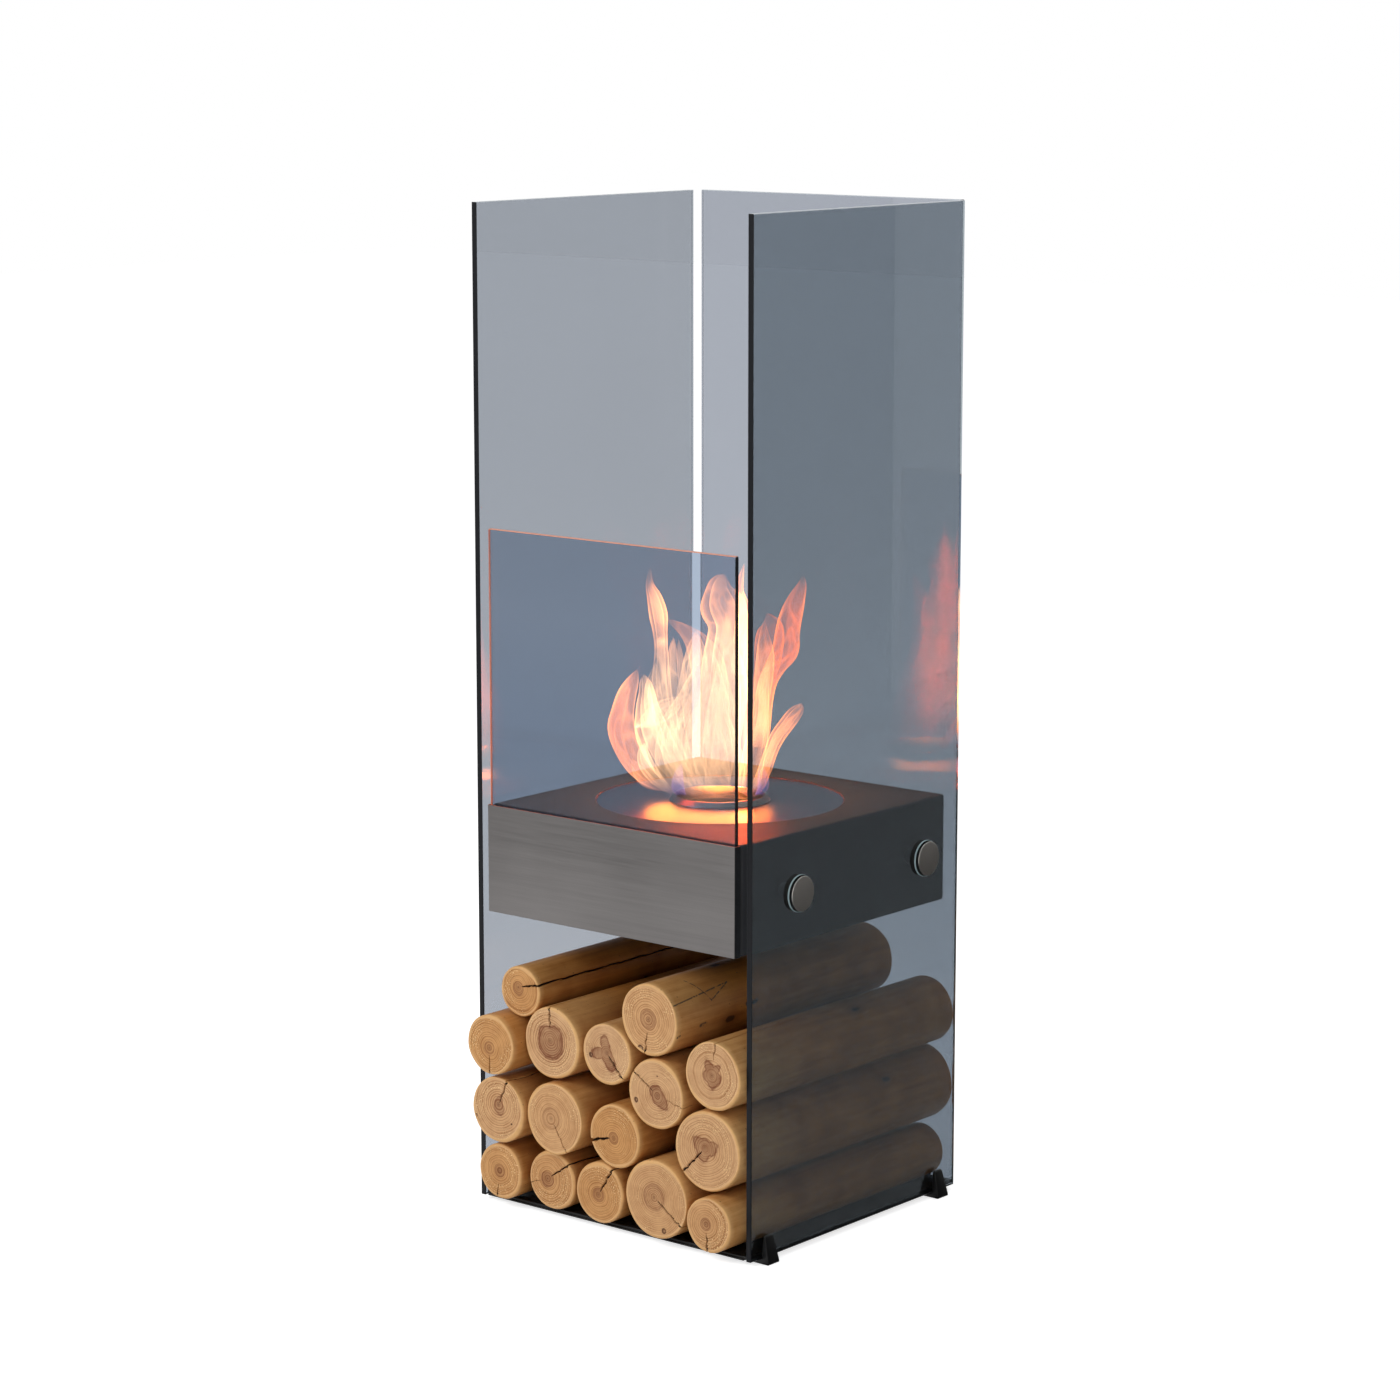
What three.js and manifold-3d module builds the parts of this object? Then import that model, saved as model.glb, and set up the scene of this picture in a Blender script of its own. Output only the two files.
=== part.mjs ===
// A free-standing bioethanol fireplace. Two tall side panes and a back pane of tinted glass stand in
// wedge-shaped clamps. Glass stand-offs hang a steel burner tray between them, and a short front
// screen drops into the slot between the tray and its brushed fascia. Sixteen loose logs fill the bay
// under the tray.
// Millimetres, +X to the viewer's right, -Y to the front, +Z up. The origin is on the floor, in the
// middle of the footprint.

import * as THREE from "three";
import { mergeVertices } from "three/addons/utils/BufferGeometryUtils.js";
import Module from "manifold-3d";

// ---- driving dimensions ----
const FIT = 0.3; // clearance between neighbouring pieces
const OVERRUN = 1; // how far a cutting tool reaches past the surface that it cuts

// Glass. Heights are measured from the lower edge of the panes until the whole is lifted onto its feet.
const OUTER_WIDTH = 437;
const PANE_DEPTH = 412;
const PANE_HEIGHT = 1244;
const PANE_THICKNESS = 8;
const ARRIS = 0.8; // polished chamfer along every glass edge
const BACK_PANE_WIDTH = 410.6;
const BACK_PANE_SET_BACK = 8.6; // slit between the side panes and the back pane
const SCREEN_WIDTH = 389.4;
const SCREEN_THICKNESS = 6;
const SCREEN_TOP = 848.6;
const SCREEN_CORNER = 2;
const SCREEN_IN_SLOT = 60;
const SCREEN_TO_TRAY = 2.7; // between the screen and the tray's front wall

// Burner tray and its fascia.
const TRAY_WIDTH = 394.4;
const TRAY_HEIGHT = 134.7;
const TRAY_TOP = 505;
const TRAY_FRONT = -199;
const TRAY_CORNER = 4;
const TRAY_EDGE = 3;
const TRAY_TOP_SHEET = 5;
const TRAY_WALL = 3;
const TRAY_FLANGE = 9; // folded in under the walls, it carries the floor pan
const FLOOR_PAN_RIM = 14;
const FLOOR_PAN_SHEET = 1.5;
const FASCIA_FRONT = -211.1;
const FASCIA_RETURN = 10.1;
const FASCIA_SHEET = 1.5;
const FASCIA_BEND = 2.5;
const CHANNEL_SHEET = 2;
const CHANNEL_END_GAP = 1.5; // to the fascia's bent ends
const CHANNEL_SUNK = 1.5; // below the top of the fascia
const CHANNEL_RAISED = 2; // above its lower edge

// Burner: a round plate with a raised mouth and the fuel can under it.
const PLATE_RADIUS = 151;
const PLATE_SHEET = 1.5;
const PLATE_SUNK = 1;
const PLATE_LEDGE = 8;
const PLATE_EDGE = 0.5;
const MOUTH_RADIUS = 53.5;
const COLLAR_BASE_RADIUS = 60.8;
const COLLAR_HEIGHT = 7.5;
const COLLAR_WALL = 1.5;
const COLLAR_FLANGE = 0.8;
const COLLAR_LIP = 1.7; // radius of the rolled lip
const COLLAR_DEPTH = 9;
const CAN_RADIUS = 116;
const CAN_DEPTH = 88;
const CAN_WALL = 1.5;
const CAN_CORNER = 5;
const CAN_RIM_RADIUS = 124;
const WICK_HEIGHT = 54;
const WICK_CLEARANCE = 5;
const WICK_EDGE = 3;
const WICK_DISH_RADIUS = 48;
const WICK_DISH_SLOPE = 8;
const WICK_DISH_DEPTH = 12;
const BURNER_SIDES = 72;
const CAN_SIDES = 48;
const WICK_SIDES = 32;

// Stand-offs: two through each pane, each a black gasket, a clear washer and a necked steel cap.
const CAP_RADIUS = 21.3;
const CAP_THICKNESS = 2.2;
const CAP_EDGE = 0.4;
const CAP_NECK_RADIUS = 19.6;
const CAP_PROUD = 13.2; // from the glass to the face of the cap
const GASKET_RADIUS = 22.3;
const GASKET_THICKNESS = 5.5;
const GASKET_EDGE = 0.6;
const WASHER_RADIUS = 22.8;
const WASHER_THICKNESS = 3.2;
const STUD_RADIUS = 4;
const STUD_POINT = 0.6;
const STUD_SHORT = 2; // of the tray's wall
const SLEEVE_RADIUS = 8.4;
const SPACER_RADIUS = 10;
const SPACER_EDGE = 0.8;
const SPACER_SIDES = 16;
const STANDOFF_SPREAD = 126; // either side of the tray's middle
const STANDOFF_HEIGHT = 439;
const STANDOFF_SIDES = 20;

// Feet and base plate.
const FOOT_HEIGHT = 6; // under the glass
const FOOT_WIDTH = 22;
const FOOT_TOP_WIDTH = 15;
const FOOT_PROUD = 11;
const FOOT_PROUD_AT_TOP = 3.4;
const FOOT_SOLE = 3; // upright edge under the wedge
const FOOT_TOP = 28;
const FOOT_TOP_ROUND = 3;
const FOOT_TOP_SPREAD = 0.4;
const FOOT_TOP_CHAMFER = [1.2, 1.5];
const FOOT_FIN = 4.6; // thickness of the fin inside the glass
const FOOT_FIN_TOP = 4.5;
const FOOT_TAB = 34; // from the pane's outer face in under the base plate
const FRONT_FOOT_Y = -176;
const REAR_FOOT_Y = 168;
const BACK_FOOT_X = 150;
const BASE_SIDE_GAP = 0.8; // to the side panes
const BASE_FRONT = -203;
const BASE_TOP = 5;
const BASE_SHEET = 2.5;
const BASE_CORNER = 3;
const BASE_EDGE = 0.8;
const BASE_LIP = 3; // low lip that runs in front of the plate
const BASE_LIP_HEIGHT = 1.8;
const BASE_SKIRT = 4.5; // how far the side skirts reach below the panes
const CLAMP_CLEARANCE = 1; // beside each clamp, in the base plate's notches

// Logs: radius, how far the sawn front face stands in front of the panes' middle, and the pieces that
// it lies on. A floor log has its place across the bay; a wall log leans on a pane; the rest lie in
// the valley between two others. lift is what a knot or bend holds it up by.
const LOG_LENGTH = 425;
const LOG_GAP = 0.8;
const LOG_END_GAP = 1; // behind the longest logs
const LOG_BEVEL = 2.2;
const LOG_SIDES = 20;
const LOG_FLATTEN = 0.028;
const LOG_THIRD_WAVE = 0.6; // share of the three-lobed wave in the flattening
const LOG_TWIST = 0.5; // radians along the length
const LOG_TURN = 1.7; // radians from one log to the next
const LOGS = {
  log_01: { radius: 36.5, front: 222, floorX: -170 },
  log_02: { radius: 38.5, front: 213.5, floorX: -91.5 },
  log_03: { radius: 39.5, front: 217, floorX: -10 },
  log_04: { radius: 50, front: 220.5, floorX: 82 },
  log_05: { radius: 35, front: 223.5, floorX: 166.5 },
  log_06: { radius: 43.5, front: 230, wall: -1, on: ["log_01"], lift: 1.3 },
  log_07: { radius: 46.5, front: 227, on: ["log_06", "log_02"] },
  log_08: { radius: 41, front: 221.5, on: ["log_03", "log_04"], lift: 0.7 },
  log_10: { radius: 51.5, front: 211.5, on: ["log_04", "log_05"] },
  log_09: { radius: 44.5, front: 215, on: ["log_08", "log_10"] },
  log_11: { radius: 39.5, front: 238.5, wall: -1, on: ["log_06"], lift: 1.2 },
  log_12: { radius: 46, front: 219.5, on: ["log_11", "log_07"] },
  log_13: { radius: 39.5, front: 217, on: ["log_12", "log_09"] },
  log_14: { radius: 43.5, front: 215.5, wall: 1, on: ["log_10"] },
  log_15: { radius: 33, front: 213.5, on: ["log_11", "log_12"] },
  log_16: { radius: 45.5, front: 217, on: ["log_13", "log_09"], lift: 1 },
};

// ---- places worked out from them ----
const PANE_OUTER_X = OUTER_WIDTH / 2;
const PANE_INNER_X = PANE_OUTER_X - PANE_THICKNESS;
const BACK_PANE_FRONT = PANE_DEPTH / 2 + BACK_PANE_SET_BACK;
const BACK_PANE_REAR = BACK_PANE_FRONT + PANE_THICKNESS;
const SPACER_LENGTH = PANE_INNER_X - TRAY_WIDTH / 2;
const TRAY_REAR = BACK_PANE_FRONT - SPACER_LENGTH;
const TRAY_BOTTOM = TRAY_TOP - TRAY_HEIGHT;
const TRAY_MIDDLE_Y = (TRAY_FRONT + TRAY_REAR) / 2;
const PLATE_TOP = TRAY_TOP - PLATE_SUNK;
const PLATE_UNDERSIDE = PLATE_TOP - PLATE_SHEET;
const SCREEN_REAR = TRAY_FRONT - SCREEN_TO_TRAY;
const SCREEN_FRONT = SCREEN_REAR - SCREEN_THICKNESS;
const BASE_HALF = PANE_INNER_X - BASE_SIDE_GAP;
const FIN_SPACE = FOOT_FIN + 3 * FIT; // from a pane to what stands behind the clamps' fins
const BASE_REAR = BACK_PANE_FRONT - FIN_SPACE;
const MOST_FORWARD_LOG = Math.max(...Object.values(LOGS).map((log) => log.front));
const REARMOST = BACK_PANE_REAR + Math.max(FOOT_PROUD, CAP_PROUD);
const CENTRE_SHIFT = (MOST_FORWARD_LOG - REARMOST) / 2;

// ---- finishes ----
const finish = (color, roughness, metalness, extra = {}) =>
  new THREE.MeshStandardMaterial({ color, roughness, metalness, ...extra });
const tintedGlass = () => finish("#8f99a6", 0.05, 0, { transparent: true, opacity: 0.45 });
const brushedSteel = () => finish("#7d7a76", 0.38, 1);
const charcoalCoat = () => finish("#3a3c3f", 0.45, 0.3);
const blackCoat = () => finish("#151616", 0.5, 0.2);
const blackRubber = () => finish("#101010", 0.8, 0);
const clearPlastic = () => finish("#b9d2d0", 0.25, 0, { transparent: true, opacity: 0.7 });
const ceramicWool = () => finish("#cfc8ba", 0.95, 0);
const peeledWood = () => finish("#c8975a", 0.7, 0);

// ---- solids ----
const wasm = await Module();
wasm.setup();

// A closed geometry as a solid that can be cut and joined.
function solidFrom(geometry) {
  const bare = geometry.clone();
  bare.deleteAttribute("normal");
  bare.deleteAttribute("uv");
  const merged = mergeVertices(bare, 1e-3);
  return new wasm.Manifold(
    new wasm.Mesh({
      numProp: 3,
      vertProperties: merged.attributes.position.array,
      triVerts: new Uint32Array(merged.index.array),
    }),
  );
}

function geometryFrom(solid) {
  const { vertProperties, triVerts } = solid.getMesh();
  const geometry = new THREE.BufferGeometry();
  geometry.setAttribute("position", new THREE.BufferAttribute(vertProperties, 3));
  geometry.setIndex(new THREE.BufferAttribute(triVerts, 1));
  geometry.computeVertexNormals();
  return geometry;
}

const cutFrom = (body, ...tools) =>
  geometryFrom(tools.reduce((left, tool) => left.subtract(solidFrom(tool)), solidFrom(body)));
const joined = (first, ...others) =>
  geometryFrom(others.reduce((sum, next) => sum.add(solidFrom(next)), solidFrom(first)));
const common = (a, b) => geometryFrom(solidFrom(a).intersect(solidFrom(b)));

// Turns a geometry drawn in a side view, with its thickness along Z, so that the view's axes become
// Y and Z and the thickness runs along X.
const SIDE_VIEW = new THREE.Matrix4().makeBasis(
  new THREE.Vector3(0, 1, 0),
  new THREE.Vector3(0, 0, 1),
  new THREE.Vector3(1, 0, 0),
);
// The same for a front view: X and Z, with the thickness running back from front to rear.
const FRONT_VIEW = new THREE.Matrix4().makeBasis(
  new THREE.Vector3(-1, 0, 0),
  new THREE.Vector3(0, 0, 1),
  new THREE.Vector3(0, 1, 0),
);

// A flat plate of the given outline from z = 0 to its thickness, with chamfered or rounded edges.
function plate(outline, thickness, edge = 0, edgeSteps = 1, curveSteps = 6) {
  const geometry = new THREE.ExtrudeGeometry(outline, {
    depth: thickness - 2 * edge,
    bevelEnabled: edge > 0,
    bevelThickness: edge,
    bevelSize: edge,
    bevelOffset: -edge,
    bevelSegments: edgeSteps,
    curveSegments: curveSteps,
  });
  return geometry.translate(0, 0, edge);
}

// A rectangle with rounded corners between two opposite corners.
function roundedRectangle(x0, y0, x1, y1, radius) {
  const shape = new THREE.Shape();
  const quarter = Math.PI / 2;
  shape.absarc(x1 - radius, y0 + radius, radius, -quarter, 0);
  shape.absarc(x1 - radius, y1 - radius, radius, 0, quarter);
  shape.absarc(x0 + radius, y1 - radius, radius, quarter, 2 * quarter);
  shape.absarc(x0 + radius, y0 + radius, radius, 2 * quarter, 3 * quarter);
  return shape;
}

function rectangle(x0, y0, x1, y1) {
  return outlineOf([[x0, y0], [x1, y0], [x1, y1], [x0, y1]]);
}

function outlineOf(points) {
  return new THREE.Shape(points.map(([x, y]) => new THREE.Vector2(x, y)));
}

function drill(shape, x, y, radius) {
  shape.holes.push(new THREE.Path().absarc(x, y, radius, 0, 2 * Math.PI, true));
}

// A turned piece about the Z axis. The profile is a list of [radius, height] that runs up the outside
// and back down the inside or the axis.
function turned(profile, steps = 32) {
  const points = profile.map(([radius, height]) => new THREE.Vector2(radius, height));
  return new THREE.LatheGeometry(points, steps).rotateX(Math.PI / 2);
}

const disc = (radius, z0, z1) =>
  turned([[0, z0], [radius, z0], [radius, z1], [0, z1]], BURNER_SIDES);

// ---- glass ----
function sidePane() {
  const outline = rectangle(-PANE_DEPTH / 2, 0, PANE_DEPTH / 2, PANE_HEIGHT);
  for (const side of [-1, 1])
    drill(outline, TRAY_MIDDLE_Y + side * STANDOFF_SPREAD, STANDOFF_HEIGHT, SLEEVE_RADIUS + FIT);
  return plate(outline, PANE_THICKNESS, ARRIS).applyMatrix4(SIDE_VIEW);
}

function backPane() {
  const outline = rectangle(-BACK_PANE_WIDTH / 2, 0, BACK_PANE_WIDTH / 2, PANE_HEIGHT);
  for (const side of [-1, 1])
    drill(outline, side * STANDOFF_SPREAD, STANDOFF_HEIGHT, SLEEVE_RADIUS + FIT);
  return plate(outline, PANE_THICKNESS, ARRIS).applyMatrix4(FRONT_VIEW);
}

function frontScreen() {
  const bottom = TRAY_TOP - SCREEN_IN_SLOT + FIT;
  const half = SCREEN_WIDTH / 2;
  const outline = roundedRectangle(-half, bottom, half, SCREEN_TOP, SCREEN_CORNER);
  return plate(outline, SCREEN_THICKNESS, ARRIS, 1, 2).applyMatrix4(FRONT_VIEW);
}

// ---- burner tray ----
// A block that fills the tray's outline, drawn in by the given distance, between two heights.
function trayBlock(by, z0, z1) {
  const half = TRAY_WIDTH / 2 - by;
  return plate(rectangle(-half, TRAY_FRONT + by, half, TRAY_REAR - by), z1 - z0).translate(0, 0, z0);
}

// A pressed steel box, open below but for a narrow flange, with a rebated round hole for the burner.
function burnerTray() {
  const half = TRAY_WIDTH / 2;
  const shell = plate(
    roundedRectangle(-half, TRAY_FRONT, half, TRAY_REAR, TRAY_CORNER), TRAY_HEIGHT, TRAY_EDGE, 2, 3,
  ).translate(0, 0, TRAY_BOTTOM);
  const ceiling = TRAY_TOP - TRAY_TOP_SHEET;
  const flangeTop = TRAY_BOTTOM + TRAY_WALL;
  const hollow = trayBlock(TRAY_WALL, flangeTop, ceiling);
  const underside = trayBlock(TRAY_WALL + TRAY_FLANGE, TRAY_BOTTOM - OVERRUN, flangeTop + OVERRUN);
  const hole = disc(PLATE_RADIUS - PLATE_LEDGE, ceiling - OVERRUN, TRAY_TOP + OVERRUN);
  const rebate = disc(PLATE_RADIUS + FIT, PLATE_UNDERSIDE - FIT, TRAY_TOP + OVERRUN);
  for (const opening of [hole, rebate]) opening.translate(0, TRAY_MIDDLE_Y, 0);
  return cutFrom(shell, hollow, underside, hole, rebate);
}

// A shallow pan that closes the tray from inside and lies on its flange.
function trayFloor() {
  const reach = TRAY_WALL + FIT;
  const bottom = TRAY_BOTTOM + TRAY_WALL + FIT;
  const rim = bottom + FLOOR_PAN_RIM;
  return cutFrom(
    trayBlock(reach, bottom, rim),
    trayBlock(reach + FLOOR_PAN_SHEET, bottom + FLOOR_PAN_SHEET, rim + OVERRUN),
  );
}

// The brushed front: a sheet with both ends bent back past the glass screen.
function fascia() {
  const half = TRAY_WIDTH / 2;
  const back = FASCIA_FRONT + FASCIA_RETURN;
  const inner = half - FASCIA_SHEET;
  const innerBend = FASCIA_BEND - FASCIA_SHEET;
  const quarter = Math.PI / 2;
  const bend = FASCIA_FRONT + FASCIA_BEND;
  const shape = new THREE.Shape();
  shape.moveTo(-half, back);
  shape.absarc(-half + FASCIA_BEND, bend, FASCIA_BEND, 2 * quarter, 3 * quarter);
  shape.absarc(half - FASCIA_BEND, bend, FASCIA_BEND, 3 * quarter, 4 * quarter);
  shape.lineTo(half, back);
  shape.lineTo(inner, back);
  shape.absarc(inner - innerBend, bend, innerBend, 4 * quarter, 3 * quarter, true);
  shape.absarc(-inner + innerBend, bend, innerBend, 3 * quarter, 2 * quarter, true);
  shape.lineTo(-inner, back);
  return plate(shape, TRAY_HEIGHT, 0, 1, 3).translate(0, 0, TRAY_BOTTOM);
}

// A full-width rail on the tray's front wall: its upper half is the slot that the screen stands in,
// and its lower foot steadies the fascia.
function screenChannel() {
  const rear = TRAY_FRONT - FIT;
  const rearLegFront = SCREEN_REAR + FIT;
  const frontLegRear = SCREEN_FRONT - FIT;
  const frontLegFront = FASCIA_FRONT + FASCIA_SHEET + FIT;
  const slotFloor = TRAY_TOP - SCREEN_IN_SLOT;
  const slotUnderside = slotFloor - CHANNEL_SHEET;
  const top = TRAY_TOP - CHANNEL_SUNK;
  const bottom = TRAY_BOTTOM + CHANNEL_RAISED;
  const footTop = bottom + CHANNEL_SHEET;
  const profile = outlineOf([
    [rear, bottom], [rear, top], [rearLegFront, top], [rearLegFront, slotFloor],
    [frontLegRear, slotFloor], [frontLegRear, top], [frontLegFront, top],
    [frontLegFront, slotUnderside], [rearLegFront, slotUnderside], [rearLegFront, footTop],
    [frontLegFront, footTop], [frontLegFront, bottom],
  ]);
  const width = TRAY_WIDTH - 2 * (FASCIA_SHEET + CHANNEL_END_GAP);
  return plate(profile, width).applyMatrix4(SIDE_VIEW).translate(-width / 2, 0, 0);
}

// ---- burner ----
function burnerPlate() {
  const hole = MOUTH_RADIUS + COLLAR_WALL + FIT;
  return turned([
    [hole, PLATE_UNDERSIDE], [PLATE_RADIUS, PLATE_UNDERSIDE], [PLATE_RADIUS, PLATE_TOP - PLATE_EDGE],
    [PLATE_RADIUS - PLATE_EDGE, PLATE_TOP], [hole, PLATE_TOP], [hole, PLATE_UNDERSIDE],
  ], BURNER_SIDES);
}

// The raised mouth: a short tube through the plate with a sloping flange around it and a rolled lip.
function burnerCollar() {
  const foot = PLATE_TOP + FIT;
  const bottom = PLATE_TOP - COLLAR_DEPTH;
  const outside = MOUTH_RADIUS + COLLAR_WALL;
  const lipRadius = MOUTH_RADIUS + COLLAR_LIP;
  const lipHeight = PLATE_TOP + COLLAR_HEIGHT - COLLAR_LIP;
  const lip = [30, 80, 130, 180].map((degrees) => {
    const angle = THREE.MathUtils.degToRad(degrees);
    return [lipRadius + COLLAR_LIP * Math.cos(angle), lipHeight + COLLAR_LIP * Math.sin(angle)];
  });
  return turned([
    [MOUTH_RADIUS, bottom], [outside, bottom], [outside, foot], [COLLAR_BASE_RADIUS, foot],
    [COLLAR_BASE_RADIUS, foot + COLLAR_FLANGE], ...lip, [MOUTH_RADIUS, bottom],
  ], CAN_SIDES);
}

function fuelCan() {
  const top = PLATE_UNDERSIDE - FIT;
  const bottom = PLATE_TOP - CAN_DEPTH;
  const inside = CAN_RADIUS - CAN_WALL;
  return turned([
    [0, bottom], [CAN_RADIUS - CAN_CORNER, bottom], [CAN_RADIUS, bottom + CAN_CORNER],
    [CAN_RADIUS, top - CAN_WALL], [CAN_RIM_RADIUS, top - CAN_WALL], [CAN_RIM_RADIUS, top],
    [inside, top], [inside, bottom + CAN_CORNER], [CAN_RADIUS - CAN_CORNER, bottom + CAN_WALL],
    [0, bottom + CAN_WALL],
  ], CAN_SIDES);
}

// The absorbent block that holds the fuel, dished under the mouth.
function wickBlock() {
  const bottom = PLATE_TOP - CAN_DEPTH + CAN_WALL + FIT;
  const top = bottom + WICK_HEIGHT;
  const dish = top - WICK_DISH_DEPTH;
  const radius = CAN_RADIUS - CAN_WALL - WICK_CLEARANCE;
  return turned([
    [0, bottom], [radius, bottom], [radius, top - WICK_EDGE], [radius - WICK_EDGE, top],
    [WICK_DISH_RADIUS, top], [WICK_DISH_RADIUS - WICK_DISH_SLOPE, dish], [0, dish],
  ], WICK_SIDES);
}

// ---- stand-offs, drawn along +Z with z = 0 on the pane's outer face ----
const GASKET_TOP = FIT + GASKET_THICKNESS;
const WASHER_TOP = GASKET_TOP + FIT + WASHER_THICKNESS;

// A thin turned disc on a narrower neck, with the stud that runs through to the tray.
function standoffCap() {
  const under = WASHER_TOP + FIT;
  const rim = CAP_PROUD - CAP_THICKNESS;
  const studEnd = -PANE_THICKNESS - SPACER_LENGTH + STUD_SHORT;
  return turned([
    [0, studEnd], [STUD_RADIUS - STUD_POINT, studEnd], [STUD_RADIUS, studEnd + STUD_POINT],
    [STUD_RADIUS, under], [CAP_NECK_RADIUS, under], [CAP_NECK_RADIUS, rim], [CAP_RADIUS, rim],
    [CAP_RADIUS, CAP_PROUD - CAP_EDGE], [CAP_RADIUS - CAP_EDGE, CAP_PROUD], [0, CAP_PROUD],
  ], STANDOFF_SIDES);
}

// A clear washer whose sleeve keeps the stud off the gasket and the glass.
function standoffWasher() {
  const bore = STUD_RADIUS + FIT;
  const under = GASKET_TOP + FIT;
  const sleeveEnd = -PANE_THICKNESS + FIT;
  return turned([
    [bore, sleeveEnd], [SLEEVE_RADIUS, sleeveEnd], [SLEEVE_RADIUS, under], [WASHER_RADIUS, under],
    [WASHER_RADIUS, WASHER_TOP], [bore, WASHER_TOP], [bore, sleeveEnd],
  ], STANDOFF_SIDES);
}

function standoffGasket() {
  const bore = SLEEVE_RADIUS + FIT;
  return turned([
    [bore, FIT], [GASKET_RADIUS, FIT], [GASKET_RADIUS, GASKET_TOP - GASKET_EDGE],
    [GASKET_RADIUS - GASKET_EDGE, GASKET_TOP], [bore, GASKET_TOP], [bore, FIT],
  ], STANDOFF_SIDES);
}

// The barrel that keeps the tray away from the glass.
function standoffSpacer() {
  const bore = STUD_RADIUS + FIT;
  const outer = -PANE_THICKNESS - FIT;
  const inner = -PANE_THICKNESS - SPACER_LENGTH + FIT;
  return turned([
    [bore, inner], [SPACER_RADIUS, inner], [SPACER_RADIUS, outer - SPACER_EDGE],
    [SPACER_RADIUS - SPACER_EDGE, outer], [bore, outer], [bore, inner],
  ], SPACER_SIDES);
}

// ---- base ----
// A wedge-shaped clamp, drawn with +X away from the glass and x = 0 on the pane's outer face. Its
// side view is cut to the width of its front view.
function footClamp() {
  const inside = -PANE_THICKNESS - FIT;
  const finBack = inside - FOOT_FIN;
  const [chamferIn, chamferDown] = FOOT_TOP_CHAMFER;
  const section = outlineOf([
    [-FOOT_TAB, -FOOT_HEIGHT], [FOOT_PROUD, -FOOT_HEIGHT], [FOOT_PROUD, FOOT_SOLE - FOOT_HEIGHT],
    [FOOT_PROUD_AT_TOP, FOOT_TOP - chamferDown], [FOOT_PROUD_AT_TOP - chamferIn, FOOT_TOP],
    [FIT, FOOT_TOP], [FIT, -FIT], [inside, -FIT], [inside, FOOT_FIN_TOP], [finBack, FOOT_FIN_TOP],
    [finBack, 0], [-FOOT_TAB, 0],
  ]);
  const profile = plate(section, FOOT_WIDTH)
    .applyMatrix4(FRONT_VIEW)
    .rotateZ(Math.PI)
    .translate(0, FOOT_WIDTH / 2, 0);
  const half = FOOT_WIDTH / 2;
  const topHalf = FOOT_TOP_WIDTH / 2;
  const shoulder = topHalf + FOOT_TOP_SPREAD;
  const face = new THREE.Shape();
  face.moveTo(-half, -FOOT_HEIGHT);
  face.lineTo(half, -FOOT_HEIGHT);
  face.lineTo(shoulder, FOOT_TOP - FOOT_TOP_ROUND);
  face.quadraticCurveTo(topHalf, FOOT_TOP, topHalf - FOOT_TOP_ROUND, FOOT_TOP);
  face.lineTo(-topHalf + FOOT_TOP_ROUND, FOOT_TOP);
  face.quadraticCurveTo(-topHalf, FOOT_TOP, -shoulder, FOOT_TOP - FOOT_TOP_ROUND);
  const width = plate(face, FOOT_TAB + FOOT_PROUD + 2 * OVERRUN, 0, 1, 4)
    .applyMatrix4(SIDE_VIEW)
    .translate(-FOOT_TAB - OVERRUN, 0, 0);
  return common(profile, width);
}

// A folded steel sheet that lies on the clamps' tabs and reaches the side panes, notched round the
// clamps' fins. A low lip runs along its front, and a skirt hangs from each side between the clamps.
function basePlate() {
  const outline = roundedRectangle(-BASE_HALF, BASE_FRONT, BASE_HALF, BASE_REAR, BASE_CORNER);
  const top = plate(outline, BASE_TOP - FIT, BASE_EDGE, 1, 2).translate(0, 0, FIT);
  const inner = BASE_HALF - BASE_SHEET;
  const under = plate(
    rectangle(-inner, BASE_FRONT + BASE_SHEET, inner, BASE_REAR - BASE_SHEET), BASE_TOP - BASE_SHEET,
  );
  const lipHalf = BASE_HALF - BASE_CORNER;
  const lip = plate(
    rectangle(-lipHalf, BASE_FRONT - BASE_LIP, lipHalf, BASE_FRONT + OVERRUN), BASE_LIP_HEIGHT,
  ).translate(0, 0, FIT);
  const reach = FOOT_WIDTH / 2 + CLAMP_CLEARANCE;
  const skirts = [];
  const notches = [];
  for (const side of [-1, 1]) {
    const across = (from, to) => [Math.min(side * from, side * to), Math.max(side * from, side * to)];
    const [x0, x1] = across(inner, BASE_HALF);
    const skirt = rectangle(x0, FRONT_FOOT_Y + reach, x1, REAR_FOOT_Y - reach);
    skirts.push(plate(skirt, BASE_SKIRT + BASE_SHEET).translate(0, 0, -BASE_SKIRT));
    const [n0, n1] = across(PANE_INNER_X - FIN_SPACE, PANE_INNER_X);
    for (const y of [FRONT_FOOT_Y, REAR_FOOT_Y])
      notches.push(plate(rectangle(n0, y - reach, n1, y + reach), BASE_TOP + OVERRUN));
  }
  return cutFrom(joined(cutFrom(top, under), lip, ...skirts), ...notches);
}

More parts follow.
